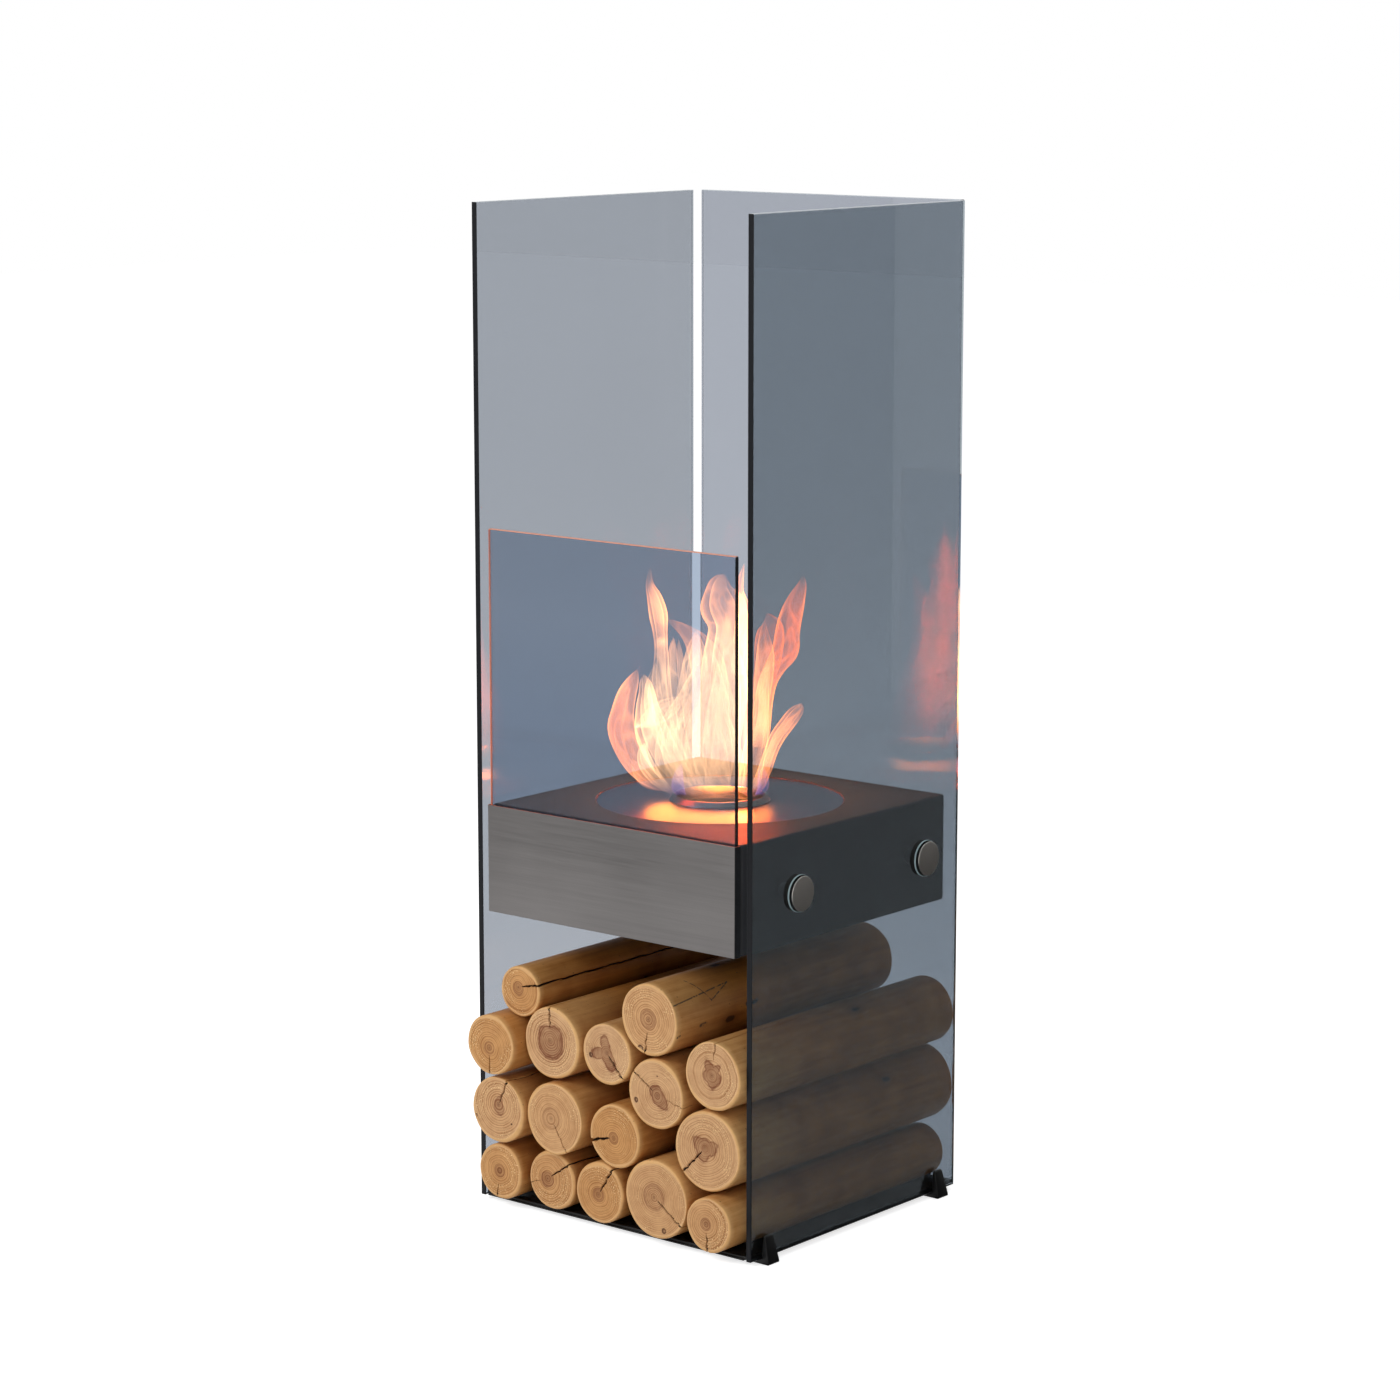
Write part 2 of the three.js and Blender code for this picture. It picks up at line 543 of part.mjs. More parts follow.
// ---- logs ----
// Where each log's axis lies in the front view, worked out in stacking order.
function stackLogs() {
  const places = {};
  for (const [name, log] of Object.entries(LOGS)) {
    const { radius, floorX, wall, on = [], lift = 0 } = log;
    const reach = (other) => LOGS[other].radius + radius + LOG_GAP + lift;
    if (floorX !== undefined) {
      places[name] = { x: floorX, z: BASE_TOP + FIT + radius };
    } else if (wall) {
      const below = places[on[0]];
      const x = wall * (PANE_INNER_X - FIT - radius);
      places[name] = { x, z: below.z + Math.sqrt(reach(on[0]) ** 2 - (x - below.x) ** 2) };
    } else {
      const [left, right] = on.map((other) => places[other]);
      const apart = Math.hypot(right.x - left.x, right.z - left.z);
      const ux = (right.x - left.x) / apart;
      const uz = (right.z - left.z) / apart;
      const along = (reach(on[0]) ** 2 - reach(on[1]) ** 2 + apart ** 2) / (2 * apart);
      const up = Math.sqrt(reach(on[0]) ** 2 - along ** 2);
      places[name] = { x: left.x + ux * along - uz * up, z: left.z + uz * along + ux * up };
    }
  }
  return places;
}

// A peeled round log along +Y with y = 0 on its front face. Its section is a circle flattened by up
// to a few hundredths in two waves that differ from log to log and turn slowly along its length.
function logGeometry(radius, length, turn) {
  const face = radius - LOG_BEVEL;
  const rings = [0, LOG_BEVEL, length / 3, (2 * length) / 3, length - LOG_BEVEL, length];
  const radii = [face, radius, radius, radius, radius, face];
  const profile = [[0, 0], ...rings.map((y, i) => [radii[i], y]), [0, length]];
  const geometry = turned(profile, LOG_SIDES).rotateX(-Math.PI / 2);
  const position = geometry.getAttribute("position");
  for (let i = 0; i < position.count; i++) {
    const x = position.getX(i);
    const z = position.getZ(i);
    const angle = Math.atan2(z, x);
    const twist = (LOG_TWIST * position.getY(i)) / length;
    const wave =
      Math.cos(2 * (angle - turn - twist)) + LOG_THIRD_WAVE * Math.cos(3 * angle + 2 * turn);
    const shrink = 1 - (LOG_FLATTEN / 2) * (1 + wave / (1 + LOG_THIRD_WAVE));
    position.setXYZ(i, x * shrink, position.getY(i), z * shrink);
  }
  geometry.computeVertexNormals();
  return geometry;
}

// ---- assembly ----
function group(...children) {
  const made = new THREE.Group();
  made.add(...children);
  return made;
}

function piece(name, geometry, material, place = [0, 0, 0], turn = [0, 0, 0]) {
  const mesh = new THREE.Mesh(geometry, material);
  mesh.name = name;
  mesh.position.set(...place);
  mesh.rotation.set(...turn);
  return mesh;
}

const glazing = group(
  piece("left_pane", sidePane(), tintedGlass(), [-PANE_OUTER_X, 0, 0]),
  piece("right_pane", sidePane(), tintedGlass(), [PANE_INNER_X, 0, 0]),
  piece("back_pane", backPane(), tintedGlass(), [0, BACK_PANE_FRONT, 0]),
  piece("front_screen", frontScreen(), tintedGlass(), [0, SCREEN_FRONT, 0]),
);

const hearth = group(
  piece("burner_tray", burnerTray(), charcoalCoat()),
  piece("tray_floor", trayFloor(), charcoalCoat()),
  piece("fascia", fascia(), brushedSteel()),
  piece("screen_channel", screenChannel(), blackCoat()),
);

const burner = group(
  piece("burner_plate", burnerPlate(), brushedSteel()),
  piece("burner_collar", burnerCollar(), brushedSteel()),
  piece("fuel_can", fuelCan(), brushedSteel()),
  piece("wick_block", wickBlock(), ceramicWool()),
);
burner.position.y = TRAY_MIDDLE_Y;

// One stand-off: spacer behind the glass, gasket, washer and cap in front of it.
function standoff(label, place, turn) {
  const set = group(
    piece(`standoff_cap_${label}`, standoffCap(), brushedSteel()),
    piece(`standoff_washer_${label}`, standoffWasher(), clearPlastic()),
    piece(`standoff_gasket_${label}`, standoffGasket(), blackRubber()),
    piece(`standoff_spacer_${label}`, standoffSpacer(), blackRubber()),
  );
  set.position.set(...place);
  set.rotation.set(...turn);
  return set;
}

const quarterTurn = Math.PI / 2;
const frontY = TRAY_MIDDLE_Y - STANDOFF_SPREAD;
const rearY = TRAY_MIDDLE_Y + STANDOFF_SPREAD;
const standoffs = group(
  standoff("left_front", [-PANE_OUTER_X, frontY, STANDOFF_HEIGHT], [0, -quarterTurn, 0]),
  standoff("left_rear", [-PANE_OUTER_X, rearY, STANDOFF_HEIGHT], [0, -quarterTurn, 0]),
  standoff("right_front", [PANE_OUTER_X, frontY, STANDOFF_HEIGHT], [0, quarterTurn, 0]),
  standoff("right_rear", [PANE_OUTER_X, rearY, STANDOFF_HEIGHT], [0, quarterTurn, 0]),
  standoff("back_left", [-STANDOFF_SPREAD, BACK_PANE_REAR, STANDOFF_HEIGHT], [-quarterTurn, 0, 0]),
  standoff("back_right", [STANDOFF_SPREAD, BACK_PANE_REAR, STANDOFF_HEIGHT], [-quarterTurn, 0, 0]),
);

const clamp = (label, place, turn) =>
  piece(`foot_${label}`, footClamp(), blackCoat(), place, [0, 0, turn]);
const base = group(
  piece("base_plate", basePlate(), blackCoat()),
  clamp("left_front", [-PANE_OUTER_X, FRONT_FOOT_Y, 0], Math.PI),
  clamp("left_rear", [-PANE_OUTER_X, REAR_FOOT_Y, 0], Math.PI),
  clamp("right_front", [PANE_OUTER_X, FRONT_FOOT_Y, 0], 0),
  clamp("right_rear", [PANE_OUTER_X, REAR_FOOT_Y, 0], 0),
  clamp("back_left", [-BACK_FOOT_X, BACK_PANE_REAR, 0], quarterTurn),
  clamp("back_right", [BACK_FOOT_X, BACK_PANE_REAR, 0], quarterTurn),
);

const places = stackLogs();
const logStack = group(
  ...Object.entries(LOGS).map(([name, log], index) => {
    const { x, z } = places[name];
    const length = Math.min(LOG_LENGTH, BACK_PANE_FRONT - LOG_END_GAP + log.front);
    const geometry = logGeometry(log.radius, length, LOG_TURN * index);
    return piece(name, geometry, peeledWood(), [x, -log.front, z]);
  }),
);

const fireplace = group(glazing, hearth, burner, standoffs, base, logStack);
fireplace.name = "bioethanol_fireplace";
fireplace.position.set(0, CENTRE_SHIFT, FOOT_HEIGHT);

export default group(fireplace);
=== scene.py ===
import math

import bmesh
import bpy
import numpy as np
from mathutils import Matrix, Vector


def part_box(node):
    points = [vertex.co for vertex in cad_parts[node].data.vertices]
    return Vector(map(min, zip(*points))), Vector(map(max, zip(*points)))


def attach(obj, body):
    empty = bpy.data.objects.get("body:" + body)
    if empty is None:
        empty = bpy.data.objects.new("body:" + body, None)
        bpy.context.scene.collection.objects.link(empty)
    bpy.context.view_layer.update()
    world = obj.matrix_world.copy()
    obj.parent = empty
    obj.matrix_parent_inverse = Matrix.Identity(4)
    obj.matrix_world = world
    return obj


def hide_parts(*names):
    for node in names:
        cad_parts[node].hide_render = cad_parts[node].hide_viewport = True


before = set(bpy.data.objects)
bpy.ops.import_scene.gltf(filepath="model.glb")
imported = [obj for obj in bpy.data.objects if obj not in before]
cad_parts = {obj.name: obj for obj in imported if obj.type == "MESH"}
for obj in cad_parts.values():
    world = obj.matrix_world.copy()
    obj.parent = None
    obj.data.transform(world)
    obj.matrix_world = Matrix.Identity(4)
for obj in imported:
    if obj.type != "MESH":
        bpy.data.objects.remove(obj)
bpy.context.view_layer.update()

# ----------------------------------------------------------------
# Studio: a pale floor, a white surround, three soft lamps and grey cards that only reflections see.
# The floor and the surround show white to the camera, through glass and in metal, and the floor keeps
# the fireplace's soft shadow.
scene = bpy.context.scene
scene.view_settings.view_transform = "Standard"
scene.cycles.transparent_max_bounces = 96
scene.cycles.max_bounces = 24
scene.cycles.transmission_bounces = 20
scene.cycles.glossy_bounces = 8


def linear(*display):
    """Display colour 0-255 as scene-linear: ((c + 0.055) / 1.055) ^ 2.4, or c / 12.92 near black."""
    share = [level / 255 for level in display]
    return (*(c / 12.92 if c <= 0.04045 else ((c + 0.055) / 1.055) ** 2.4 for c in share), 1.0)


def new_material(name):
    """An empty node material and its tree."""
    material = bpy.data.materials.new(name)
    material.use_nodes = True
    material.node_tree.nodes.clear()
    return material, material.node_tree


class Pattern:
    """A value or colour that varies over a surface: one output of a shader node. Arithmetic with
    other patterns or with numbers adds Math nodes."""

    def __init__(self, source, output=0):
        self.socket = source.outputs[output] if isinstance(source, bpy.types.Node) else source
        self.tree = self.socket.id_data

    def math(self, operation, *others):
        """This pattern and others through one Math node."""
        return Pattern(node(self.tree, "Math", self, *others, operation=operation))

    def __add__(self, other):
        return self.math("ADD", other)

    def __sub__(self, other):
        return self.math("SUBTRACT", other)

    def __mul__(self, other):
        return self.math("MULTIPLY", other)

    def __truediv__(self, other):
        return self.math("DIVIDE", other)


def feed(socket, value):
    """Links a pattern, a node or its output to a socket, or sets the socket's own value."""
    if isinstance(value, bpy.types.Node):
        value = value.outputs[0]
    if isinstance(value, Pattern):
        value = value.socket
    if isinstance(value, bpy.types.NodeSocket):
        socket.id_data.links.new(value, socket)
    else:
        socket.default_value = value


def node(tree, kind, *fed, **values):
    """Adds a shader node. fed goes into its sockets in their order, values by name into its
    properties or sockets."""
    made = tree.nodes.new("ShaderNode" + kind)
    for key, value in values.items():
        if hasattr(made, key):
            setattr(made, key, value)
        else:
            feed(made.inputs[key.replace("_", " ")], value)
    for socket, value in zip(made.inputs, fed):
        feed(socket, value)
    return made


def own_place(tree):
    """The object's own coordinates."""
    return Pattern(node(tree, "TexCoord"), "Object")


def spread(value, start, stop, low, high):
    """value, from start to stop, spread evenly over low to high."""
    return Pattern(node(value.tree, "MapRange", Value=value, From_Min=start, From_Max=stop,
                        To_Min=low, To_Max=high))


def seen_directly(tree):
    """1 for camera, glossy and transmission rays: those that show the white surround as it is."""
    path = node(tree, "LightPath").outputs
    seen = Pattern(path["Is Camera Ray"]).math("MAXIMUM", path["Is Glossy Ray"])
    return seen.math("MAXIMUM", path["Is Transmission Ray"])


def mesh_object(name, points, faces):
    """A smooth mesh from an array of points and an array or list of faces, at the origin."""
    mesh = bpy.data.meshes.new(name)
    faces = faces.tolist() if isinstance(faces, np.ndarray) else faces
    mesh.from_pydata(np.asarray(points, float).reshape(-1, 3).tolist(), [], faces)
    mesh.validate()
    mesh.polygons.foreach_set("use_smooth", np.ones(len(mesh.polygons), bool))
    made = bpy.data.objects.new(name, mesh)
    scene.collection.objects.link(made)
    return made


floor_half, floor_level = 14.0, -0.0005
floor_points = [(x * floor_half, y * floor_half, floor_level)
                for x, y in ((-1, -1), (1, -1), (1, 1), (-1, 1))]
studio_floor = mesh_object("studio_floor", floor_points, [(0, 1, 2, 3)])
floor_look, tree = new_material("studio_floor")
node(tree, "OutputMaterial", node(
    tree, "AddShader", node(tree, "Emission", Color=(1, 1, 1, 1), Strength=seen_directly(tree) * 0.72),
    node(tree, "BsdfDiffuse", Color=linear(225, 225, 225))))
studio_floor.data.materials.append(floor_look)

world = bpy.data.worlds.new("studio_surround")
scene.world = world
world.use_nodes = True
tree = world.node_tree
tree.nodes.clear()
node(tree, "OutputWorld", node(tree, "Background", Color=(1, 1, 1, 1),
                               Strength=spread(seen_directly(tree), 0, 1, 0.42, 1.0)))


def soft_lamp(name, place, aim, size, power):
    """A square area lamp at place that faces aim."""
    data = bpy.data.lights.new(name, "AREA")
    data.shape = "SQUARE"
    data.size = size
    data.energy = power
    lamp = bpy.data.objects.new(name, data)
    lamp.location = place
    way = np.subtract(aim, place)
    lamp.rotation_euler = (math.atan2(math.hypot(way[0], way[1]), -way[2]), 0,
                           math.atan2(-way[0], way[1]))
    scene.collection.objects.link(lamp)


soft_lamp("key_lamp", (-1.4, -3.6, 2.6), (0, 0, 0.4), 1.5, 95)
soft_lamp("fill_lamp", (3.2, -2.6, 1.4), (0, 0, 0.5), 1.6, 14)
soft_lamp("top_lamp", (0.3, 0.6, 3.6), (0, 0, 0.6), 1.6, 30)


card_level = 0.0002


def reflection_card(name, outline, height, shade, fade=None):
    """A grey card that only reflections show: upright on two floor points, or flat on more. fade is
    its strength along Y: from y, to y, from strength, to strength."""
    points = np.column_stack([outline, np.full(len(outline), card_level)])
    if height:
        points = np.concatenate([points, points[::-1] + (0, 0, height)])
    card = mesh_object(name, points, [(0, 1, 2, 3)])
    look, tree = new_material(name)
    strength = spread(Pattern(node(tree, "SeparateXYZ", own_place(tree)), "Y"), *fade) if fade else 1.0
    node(tree, "OutputMaterial", node(tree, "Emission", Color=(shade, shade, shade, 1), Strength=strength))
    card.data.materials.append(look)
    card.visible_camera = card.visible_diffuse = False
    card.visible_shadow = card.visible_transmission = False


reflection_card("near_card", [(1.6, -0.4), (2.47, 3.09)], 4.0, 0.07)
reflection_card("far_card", [(2.47, 3.09), (3.4, 6.8)], 4.0, 0.22)
reflection_card("floor_card", [(0.2195, -0.9), (1.6, -0.4), (3.4, 6.8), (0.2195, 6.8)], 0, 0.035)
reflection_card("front_card", [(-4.6, -5.0), (-0.8, -5.0), (-0.8, -1.95), (-4.6, -1.95)], 0, 1.0,
                (-3.8, -2.6, 1.0, 0.32))

camera_data = bpy.data.cameras.new("camera")
camera_data.lens = 100.5
camera_data.clip_end = 60
camera = bpy.data.objects.new("camera", camera_data)
camera_pitch = math.radians(10.07)
camera_azimuth = math.radians(39.5)
camera.location = (3.0171, -3.6954, 1.4829)
camera.rotation_euler = (math.pi / 2 - camera_pitch, 0, camera_azimuth)
scene.collection.objects.link(camera)
scene.camera = camera

# ----------------------------------------------------------------
# Panes: two side panes and a back pane of 8 mm grey-blue toughened glass, and a lighter 6 mm front
# screen. The polished edges have a painted shade, nearly black, as light from deep in the sheet is lost;
# the panes' top edges have a painted highlight and the screen's left and top edges a painted glow of
# the fire. The solids have the chamfered edges, so they keep their own meshes.


def dressed(name, material):
    """Gives a carried-over solid its finish."""
    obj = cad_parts[name]
    obj.data.materials.clear()
    obj.data.materials.append(material)
    return obj


def noise(place, scale, detail=2.0, rough=0.5, seed=None, stretch=None, distortion=0.0):
    """Noise over a place, which may be stretched first. Each seed gives other noise."""
    if stretch:
        place = Pattern(node(place.tree, "Mapping", place, Scale=stretch))
    seeded = {} if seed is None else {"noise_dimensions": "4D", "W": seed}
    return Pattern(node(place.tree, "TexNoise", place, Scale=scale, Detail=detail, Roughness=rough,
                        Distortion=distortion, **seeded))


def mix(factor, a, b):
    """Colour a where factor is 0, b where it is 1."""
    made = node(factor.tree, "Mix", factor, data_type="RGBA")
    feed(made.inputs[6], a)
    feed(made.inputs[7], b)
    return Pattern(made, 2)


def new_group(name, inputs, outputs):
    """An empty node group with these sockets, each a name and its kind: the group, its inputs as
    patterns and the sockets that take its outputs."""
    group = bpy.data.node_groups.new(name, "ShaderNodeTree")
    for way, sockets in (("INPUT", inputs), ("OUTPUT", outputs)):
        for label, kind in sockets.items():
            group.interface.new_socket(label, in_out=way, socket_type="NodeSocket" + kind)
    given = [Pattern(socket) for socket in group.nodes.new("NodeGroupInput").outputs if socket.name]
    return group, given, group.nodes.new("NodeGroupOutput").inputs


def surfaced(look, **values):
    """Gives a material a Principled surface with these values."""
    node(look.node_tree, "OutputMaterial", node(look.node_tree, "BsdfPrincipled", **values))
    return look


two_tones, (place, scale, detail, dark, light), result = new_group(
    "two_tones", {"Place": "Vector", "Scale": "Float", "Detail": "Float", "Dark": "Color",
                  "Light": "Color"}, {"Colour": "Color"})
feed(result["Colour"], mix(noise(place, scale, detail), dark, light))


def two_toned(tree, scale, detail, dark, light):
    """Clouds of two close tones over the object."""
    return node(tree, "Group", node_tree=two_tones, Place=own_place(tree), Scale=scale, Detail=detail,
                Dark=dark, Light=light)


def glass_look(name, tint, shade):
    """Clear tinted glass. tint is what the sheet lets through, with a trace of cloud, and shade the
    colour of the light it passes on to what stands behind it."""
    look, tree = new_material(name)
    dark, light = ((*(part * level for level in tint), 1) for part in (0.97, 1.03))
    glass = node(tree, "BsdfPrincipled", Base_Color=two_toned(tree, 3.0, 2.0, dark, light), Roughness=0.0,
                 IOR=1.47, Transmission_Weight=1.0)
    clear = node(tree, "BsdfTransparent", Color=(*shade, 1))
    path = node(tree, "LightPath").outputs
    node(tree, "OutputMaterial", node(tree, "MixShader", path["Is Shadow Ray"], glass, clear))
    return look


def edge_look(name, low, high, level):
    """A ground glass edge: two close tones in streaks along it."""
    look, tree = new_material(name)
    return surfaced(look, Base_Color=two_toned(tree, 400.0, 1.0, (*low, 1), (*high, 1)), Roughness=0.3,
                    Specular_IOR_Level=level)


def per_face(mesh, kind):
    """The "normal" or the "center" of every face, as rows of three."""
    values = np.zeros(len(mesh.polygons) * 3, np.float32)
    mesh.polygons.foreach_get(kind, values)
    return values.reshape(-1, 3)


def share_out(mesh, index):
    """Gives each face the material whose number index holds."""
    mesh.polygons.foreach_set("material_index", index.astype(np.int32))


facing_share = 0.6


def glaze(name, glass, edges):
    """Glass on the broad faces of a sheet; edges gives a look for each direction an edge faces."""
    mesh = dressed(name, glass).data
    normals = per_face(mesh, "normal")
    index = np.zeros(len(normals))
    for number, (direction, look) in enumerate(edges, 1):
        mesh.materials.append(look)
        index[normals @ np.array(direction, float) > facing_share] = number
    share_out(mesh, index)


# painted light on the glass edges: a painted shade on the front and bottom edges and the screen's right end,
# a painted highlight on the panes' top edges, and a painted glow of the fire on the screen's left and top
# edges
painted_dark_edge = edge_look("painted_dark_edge", (0.003, 0.0035, 0.005), (0.009, 0.010, 0.013), 0.12)
edge_painted_highlight = edge_look("edge_painted_highlight", (0.30, 0.33, 0.37), (0.50, 0.54, 0.58), 0.4)
edge_painted_fire_glow = edge_look("edge_painted_fire_glow", (0.52, 0.20, 0.13), (0.80, 0.34, 0.22), 0.3)
side_edges = [((0, -1, 0), painted_dark_edge), ((0, 0, -1), painted_dark_edge), ((0, 0, 1), edge_painted_highlight)]
glaze("left_pane", glass_look("left_glass", (0.325, 0.352, 0.393), (0.62, 0.66, 0.70)), side_edges)
glaze("right_pane", glass_look("right_glass", (0.37, 0.42, 0.455), (0.42, 0.42, 0.37)), side_edges)
glaze("back_pane", glass_look("back_glass", (0.385, 0.412, 0.466), (0.62, 0.66, 0.70)),
      [((0, 0, -1), painted_dark_edge), ((0, 0, 1), edge_painted_highlight)])
glaze("front_screen", glass_look("screen_glass", (0.365, 0.44, 0.555), (0.78, 0.82, 0.87)),
      [((1, 0, 0), painted_dark_edge), ((-1, 0, 0), edge_painted_fire_glow), ((0, 0, 1), edge_painted_fire_glow)])

# ----------------------------------------------------------------
# Burner tray: pressed steel with soft edges and a satin charcoal coat, with a rebated round hole for
# the burner. One closed profile is carried round it: up the wall, over the rounded edge, across the
# top where the rectangle blends to the circle, down the rebate and back inside.


def grid_faces(rows, columns, rows_meet=False):
    """Quads of a grid whose columns close on themselves; rows_meet closes the other way too."""
    last = rows if rows_meet else rows - 1
    r, c = np.meshgrid(np.arange(last), np.arange(columns), indexing="ij")
    r2, c2 = (r + 1) % rows, (c + 1) % columns
    return np.stack([r * columns + c, r * columns + c2, r2 * columns + c2, r2 * columns + c],
                    -1).reshape(-1, 4)


def facing_out(made):
    """Turns the faces of a closed piece round if the volume they enclose comes out below zero."""
    mesh = made.data
    mesh.calc_loop_triangles()
    corners = np.zeros(len(mesh.loop_triangles) * 3, np.int32)
    mesh.loop_triangles.foreach_get("vertices", corners)
    points = np.zeros(len(mesh.vertices) * 3, np.float32)
    mesh.vertices.foreach_get("co", points)
    a, b, c = points.astype(float).reshape(-1, 3)[corners].reshape(-1, 3, 3).transpose(1, 0, 2)
    if (a * np.cross(b, c)).sum() < 0:
        mesh.flip_normals()
    return made


def rounded_ring(half_x, half_y, radius, corner_steps=8, side_steps=30):
    """A rounded rectangle about the origin as a ring of points, anticlockwise from the lower right
    corner: quarter circles of the given radius joined by evenly divided sides."""
    ring = []
    centres = [(half_x - radius, -half_y + radius), (half_x - radius, half_y - radius),
               (-half_x + radius, half_y - radius), (-half_x + radius, -half_y + radius)]
    for i, (cx, cy) in enumerate(centres):
        turn = (i - 1) * math.pi / 2 + np.linspace(0, math.pi / 2, corner_steps + 1)
        ring.append(np.stack([cx + radius * np.cos(turn), cy + radius * np.sin(turn)], -1))
        nx, ny = centres[(i + 1) % 4]
        begin = ring[-1][-1]
        end = np.array([nx + radius * math.cos(turn[-1]), ny + radius * math.sin(turn[-1])])
        step = np.linspace(0, 1, side_steps + 1)[1:-1, None]
        ring.append(begin + (end - begin) * step)
    return np.concatenate(ring)


tray_low, tray_high = map(np.array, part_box("burner_tray"))
tray_half = (tray_high - tray_low)[:2] / 2
tray_middle = (tray_high + tray_low)[:2] / 2
tray_top = tray_high[2]
tray_bottom = tray_low[2]
tray_corner = 0.004
rebate_radius = 0.1514
ledge_radius = 0.143
rebate_depth = 0.0028
top_sheet = 0.005
tray_wall = 0.003
tray_flange = 0.012
outer_ring = rounded_ring(*tray_half, tray_corner)
ring_angle = np.arctan2(outer_ring[:, 1], outer_ring[:, 0])


def tray_ring(inset):
    """The tray's outline, drawn in by inset."""
    return rounded_ring(*(tray_half - inset), max(tray_corner - inset, 0.0006))


def round_ring(radius):
    """A circle whose points lie in the directions of the outline's points."""
    return radius * np.stack([np.cos(ring_angle), np.sin(ring_angle)], -1)


edge = 0.003
lip = 0.0011
quarter = np.linspace(0, math.pi / 2, 6)
tray_rows = [(tray_ring(tray_flange), tray_bottom), (tray_ring(edge), tray_bottom)]
tray_rows += [(tray_ring(edge * (1 - math.sin(turn))), tray_bottom + edge * (1 - math.cos(turn)))
              for turn in quarter[1:]]
tray_rows += [(tray_ring(edge * (1 - math.cos(turn))), tray_top - edge * (1 - math.sin(turn)))
              for turn in quarter]
tray_rows += [(tray_ring(edge) * (1 - share) + round_ring(rebate_radius + lip) * share, tray_top)
              for share in (0.03, 0.35, 0.7, 1.0)]
tray_rows += [(round_ring(rebate_radius), tray_top - lip),
              (round_ring(rebate_radius), tray_top - rebate_depth),
              (round_ring(ledge_radius), tray_top - rebate_depth),
              (round_ring(ledge_radius), tray_top - top_sheet), (tray_ring(tray_wall), tray_top - top_sheet),
              (tray_ring(tray_wall), tray_bottom + tray_wall),
              (tray_ring(tray_flange), tray_bottom + tray_wall)]
tray_points = [np.column_stack([ring + tray_middle, np.full(len(ring), z)]) for ring, z in tray_rows]
tray = facing_out(mesh_object("tray_shell", tray_points,
                              grid_faces(len(tray_rows), len(outer_ring), rows_meet=True)))


def sharp_by_angle(obj, degrees=32):
    """Smooth shading that breaks where faces meet at more than the given angle."""
    with bpy.context.temp_override(object=obj, active_object=obj, selected_objects=[obj],
                                   selected_editable_objects=[obj]):
        bpy.ops.object.shade_smooth_by_angle(angle=math.radians(degrees))


sharp_by_angle(tray)


def shaded(colour, share):
    """A colour made darker or lighter, or a vector made shorter or longer: times share."""
    return Pattern(node(share.tree, "VectorMath", colour, operation="SCALE", Scale=share))


satin_coat, (place, colour, rough, grain), result = new_group(
    "satin_coat", {"Place": "Vector", "Colour": "Color", "Roughness": "Float", "Grain": "Float"},
    {"Colour": "Color", "Roughness": "Float", "Height": "Float"})
feed(result["Colour"], shaded(colour, spread(noise(place, 9, 3), 0.3, 0.7, 0.9, 1.1)))
feed(result["Roughness"], rough * spread(noise(place, 30, 3), 0.3, 0.7, 0.9, 1.1))
feed(result["Height"], noise(place, grain, 1))


def coat_look(name, colour, rough, grain=1400, grain_height=0.000004, level=0.35):
    """A satin powder coat: one colour with faint clouds, fine orange-peel bumps and a roughness that
    wanders a little."""
    look, tree = new_material(name)
    coat = node(tree, "Group", node_tree=satin_coat, Place=own_place(tree), Colour=(*colour, 1),
                Roughness=rough, Grain=grain).outputs
    peel = node(tree, "Bump", Height=coat["Height"], Strength=0.25, Distance=grain_height)
    return surfaced(look, Base_Color=coat["Colour"], Roughness=coat["Roughness"], Normal=peel,
                    Specular_IOR_Level=level)


tray.data.materials.append(coat_look("charcoal_coat", (0.052, 0.052, 0.055), 0.42, level=0.012))
# painted glow of the fire: the thin lip round the rebate is dark red, standing for the fire's light it
# catches
tray.data.materials.append(coat_look("lip_painted_fire_glow", (0.10, 0.022, 0.012), 0.4, level=0.15))
middles = per_face(tray.data, "center")
from_axis = np.hypot(*(middles[:, :2] - tray_middle).T)
on_lip = np.abs(from_axis - rebate_radius - lip / 2) < 0.6 * lip
share_out(tray.data, on_lip & (middles[:, 2] > tray_top - lip))
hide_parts("burner_tray")
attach(tray, "frame")
dressed("tray_floor", coat_look("pan_coat", (0.03, 0.032, 0.036), 0.5))

# ----------------------------------------------------------------
# Fascia and its rail: a brushed stainless sheet across the front, both ends bent back, and behind it
# the black rail whose slot holds the screen. The sheet is one profile carried along a path: its thin
# upright section goes round the bends.
fascia_low, fascia_high = map(np.array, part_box("fascia"))
fascia_sheet = 0.0015
fascia_bend = 0.0025
fascia_edge = 0.0004


def swept(name, path, normals, section):
    """Carries a closed section along an open path in plan: point = path + normal * offset, at the
    section's height. Both ends are closed with a flat face."""
    rows = path[:, None, :] + normals[:, None, :] * section[None, :, :1]
    height = np.broadcast_to(section[None, :, 1:], rows.shape[:2] + (1,))
    count, last = len(section), (len(path) - 1) * len(section)
    faces = grid_faces(len(path), count).tolist()
    faces += [list(range(count))[::-1], list(range(last, last + count))]
    return facing_out(mesh_object(name, np.concatenate([rows, height], -1), faces))


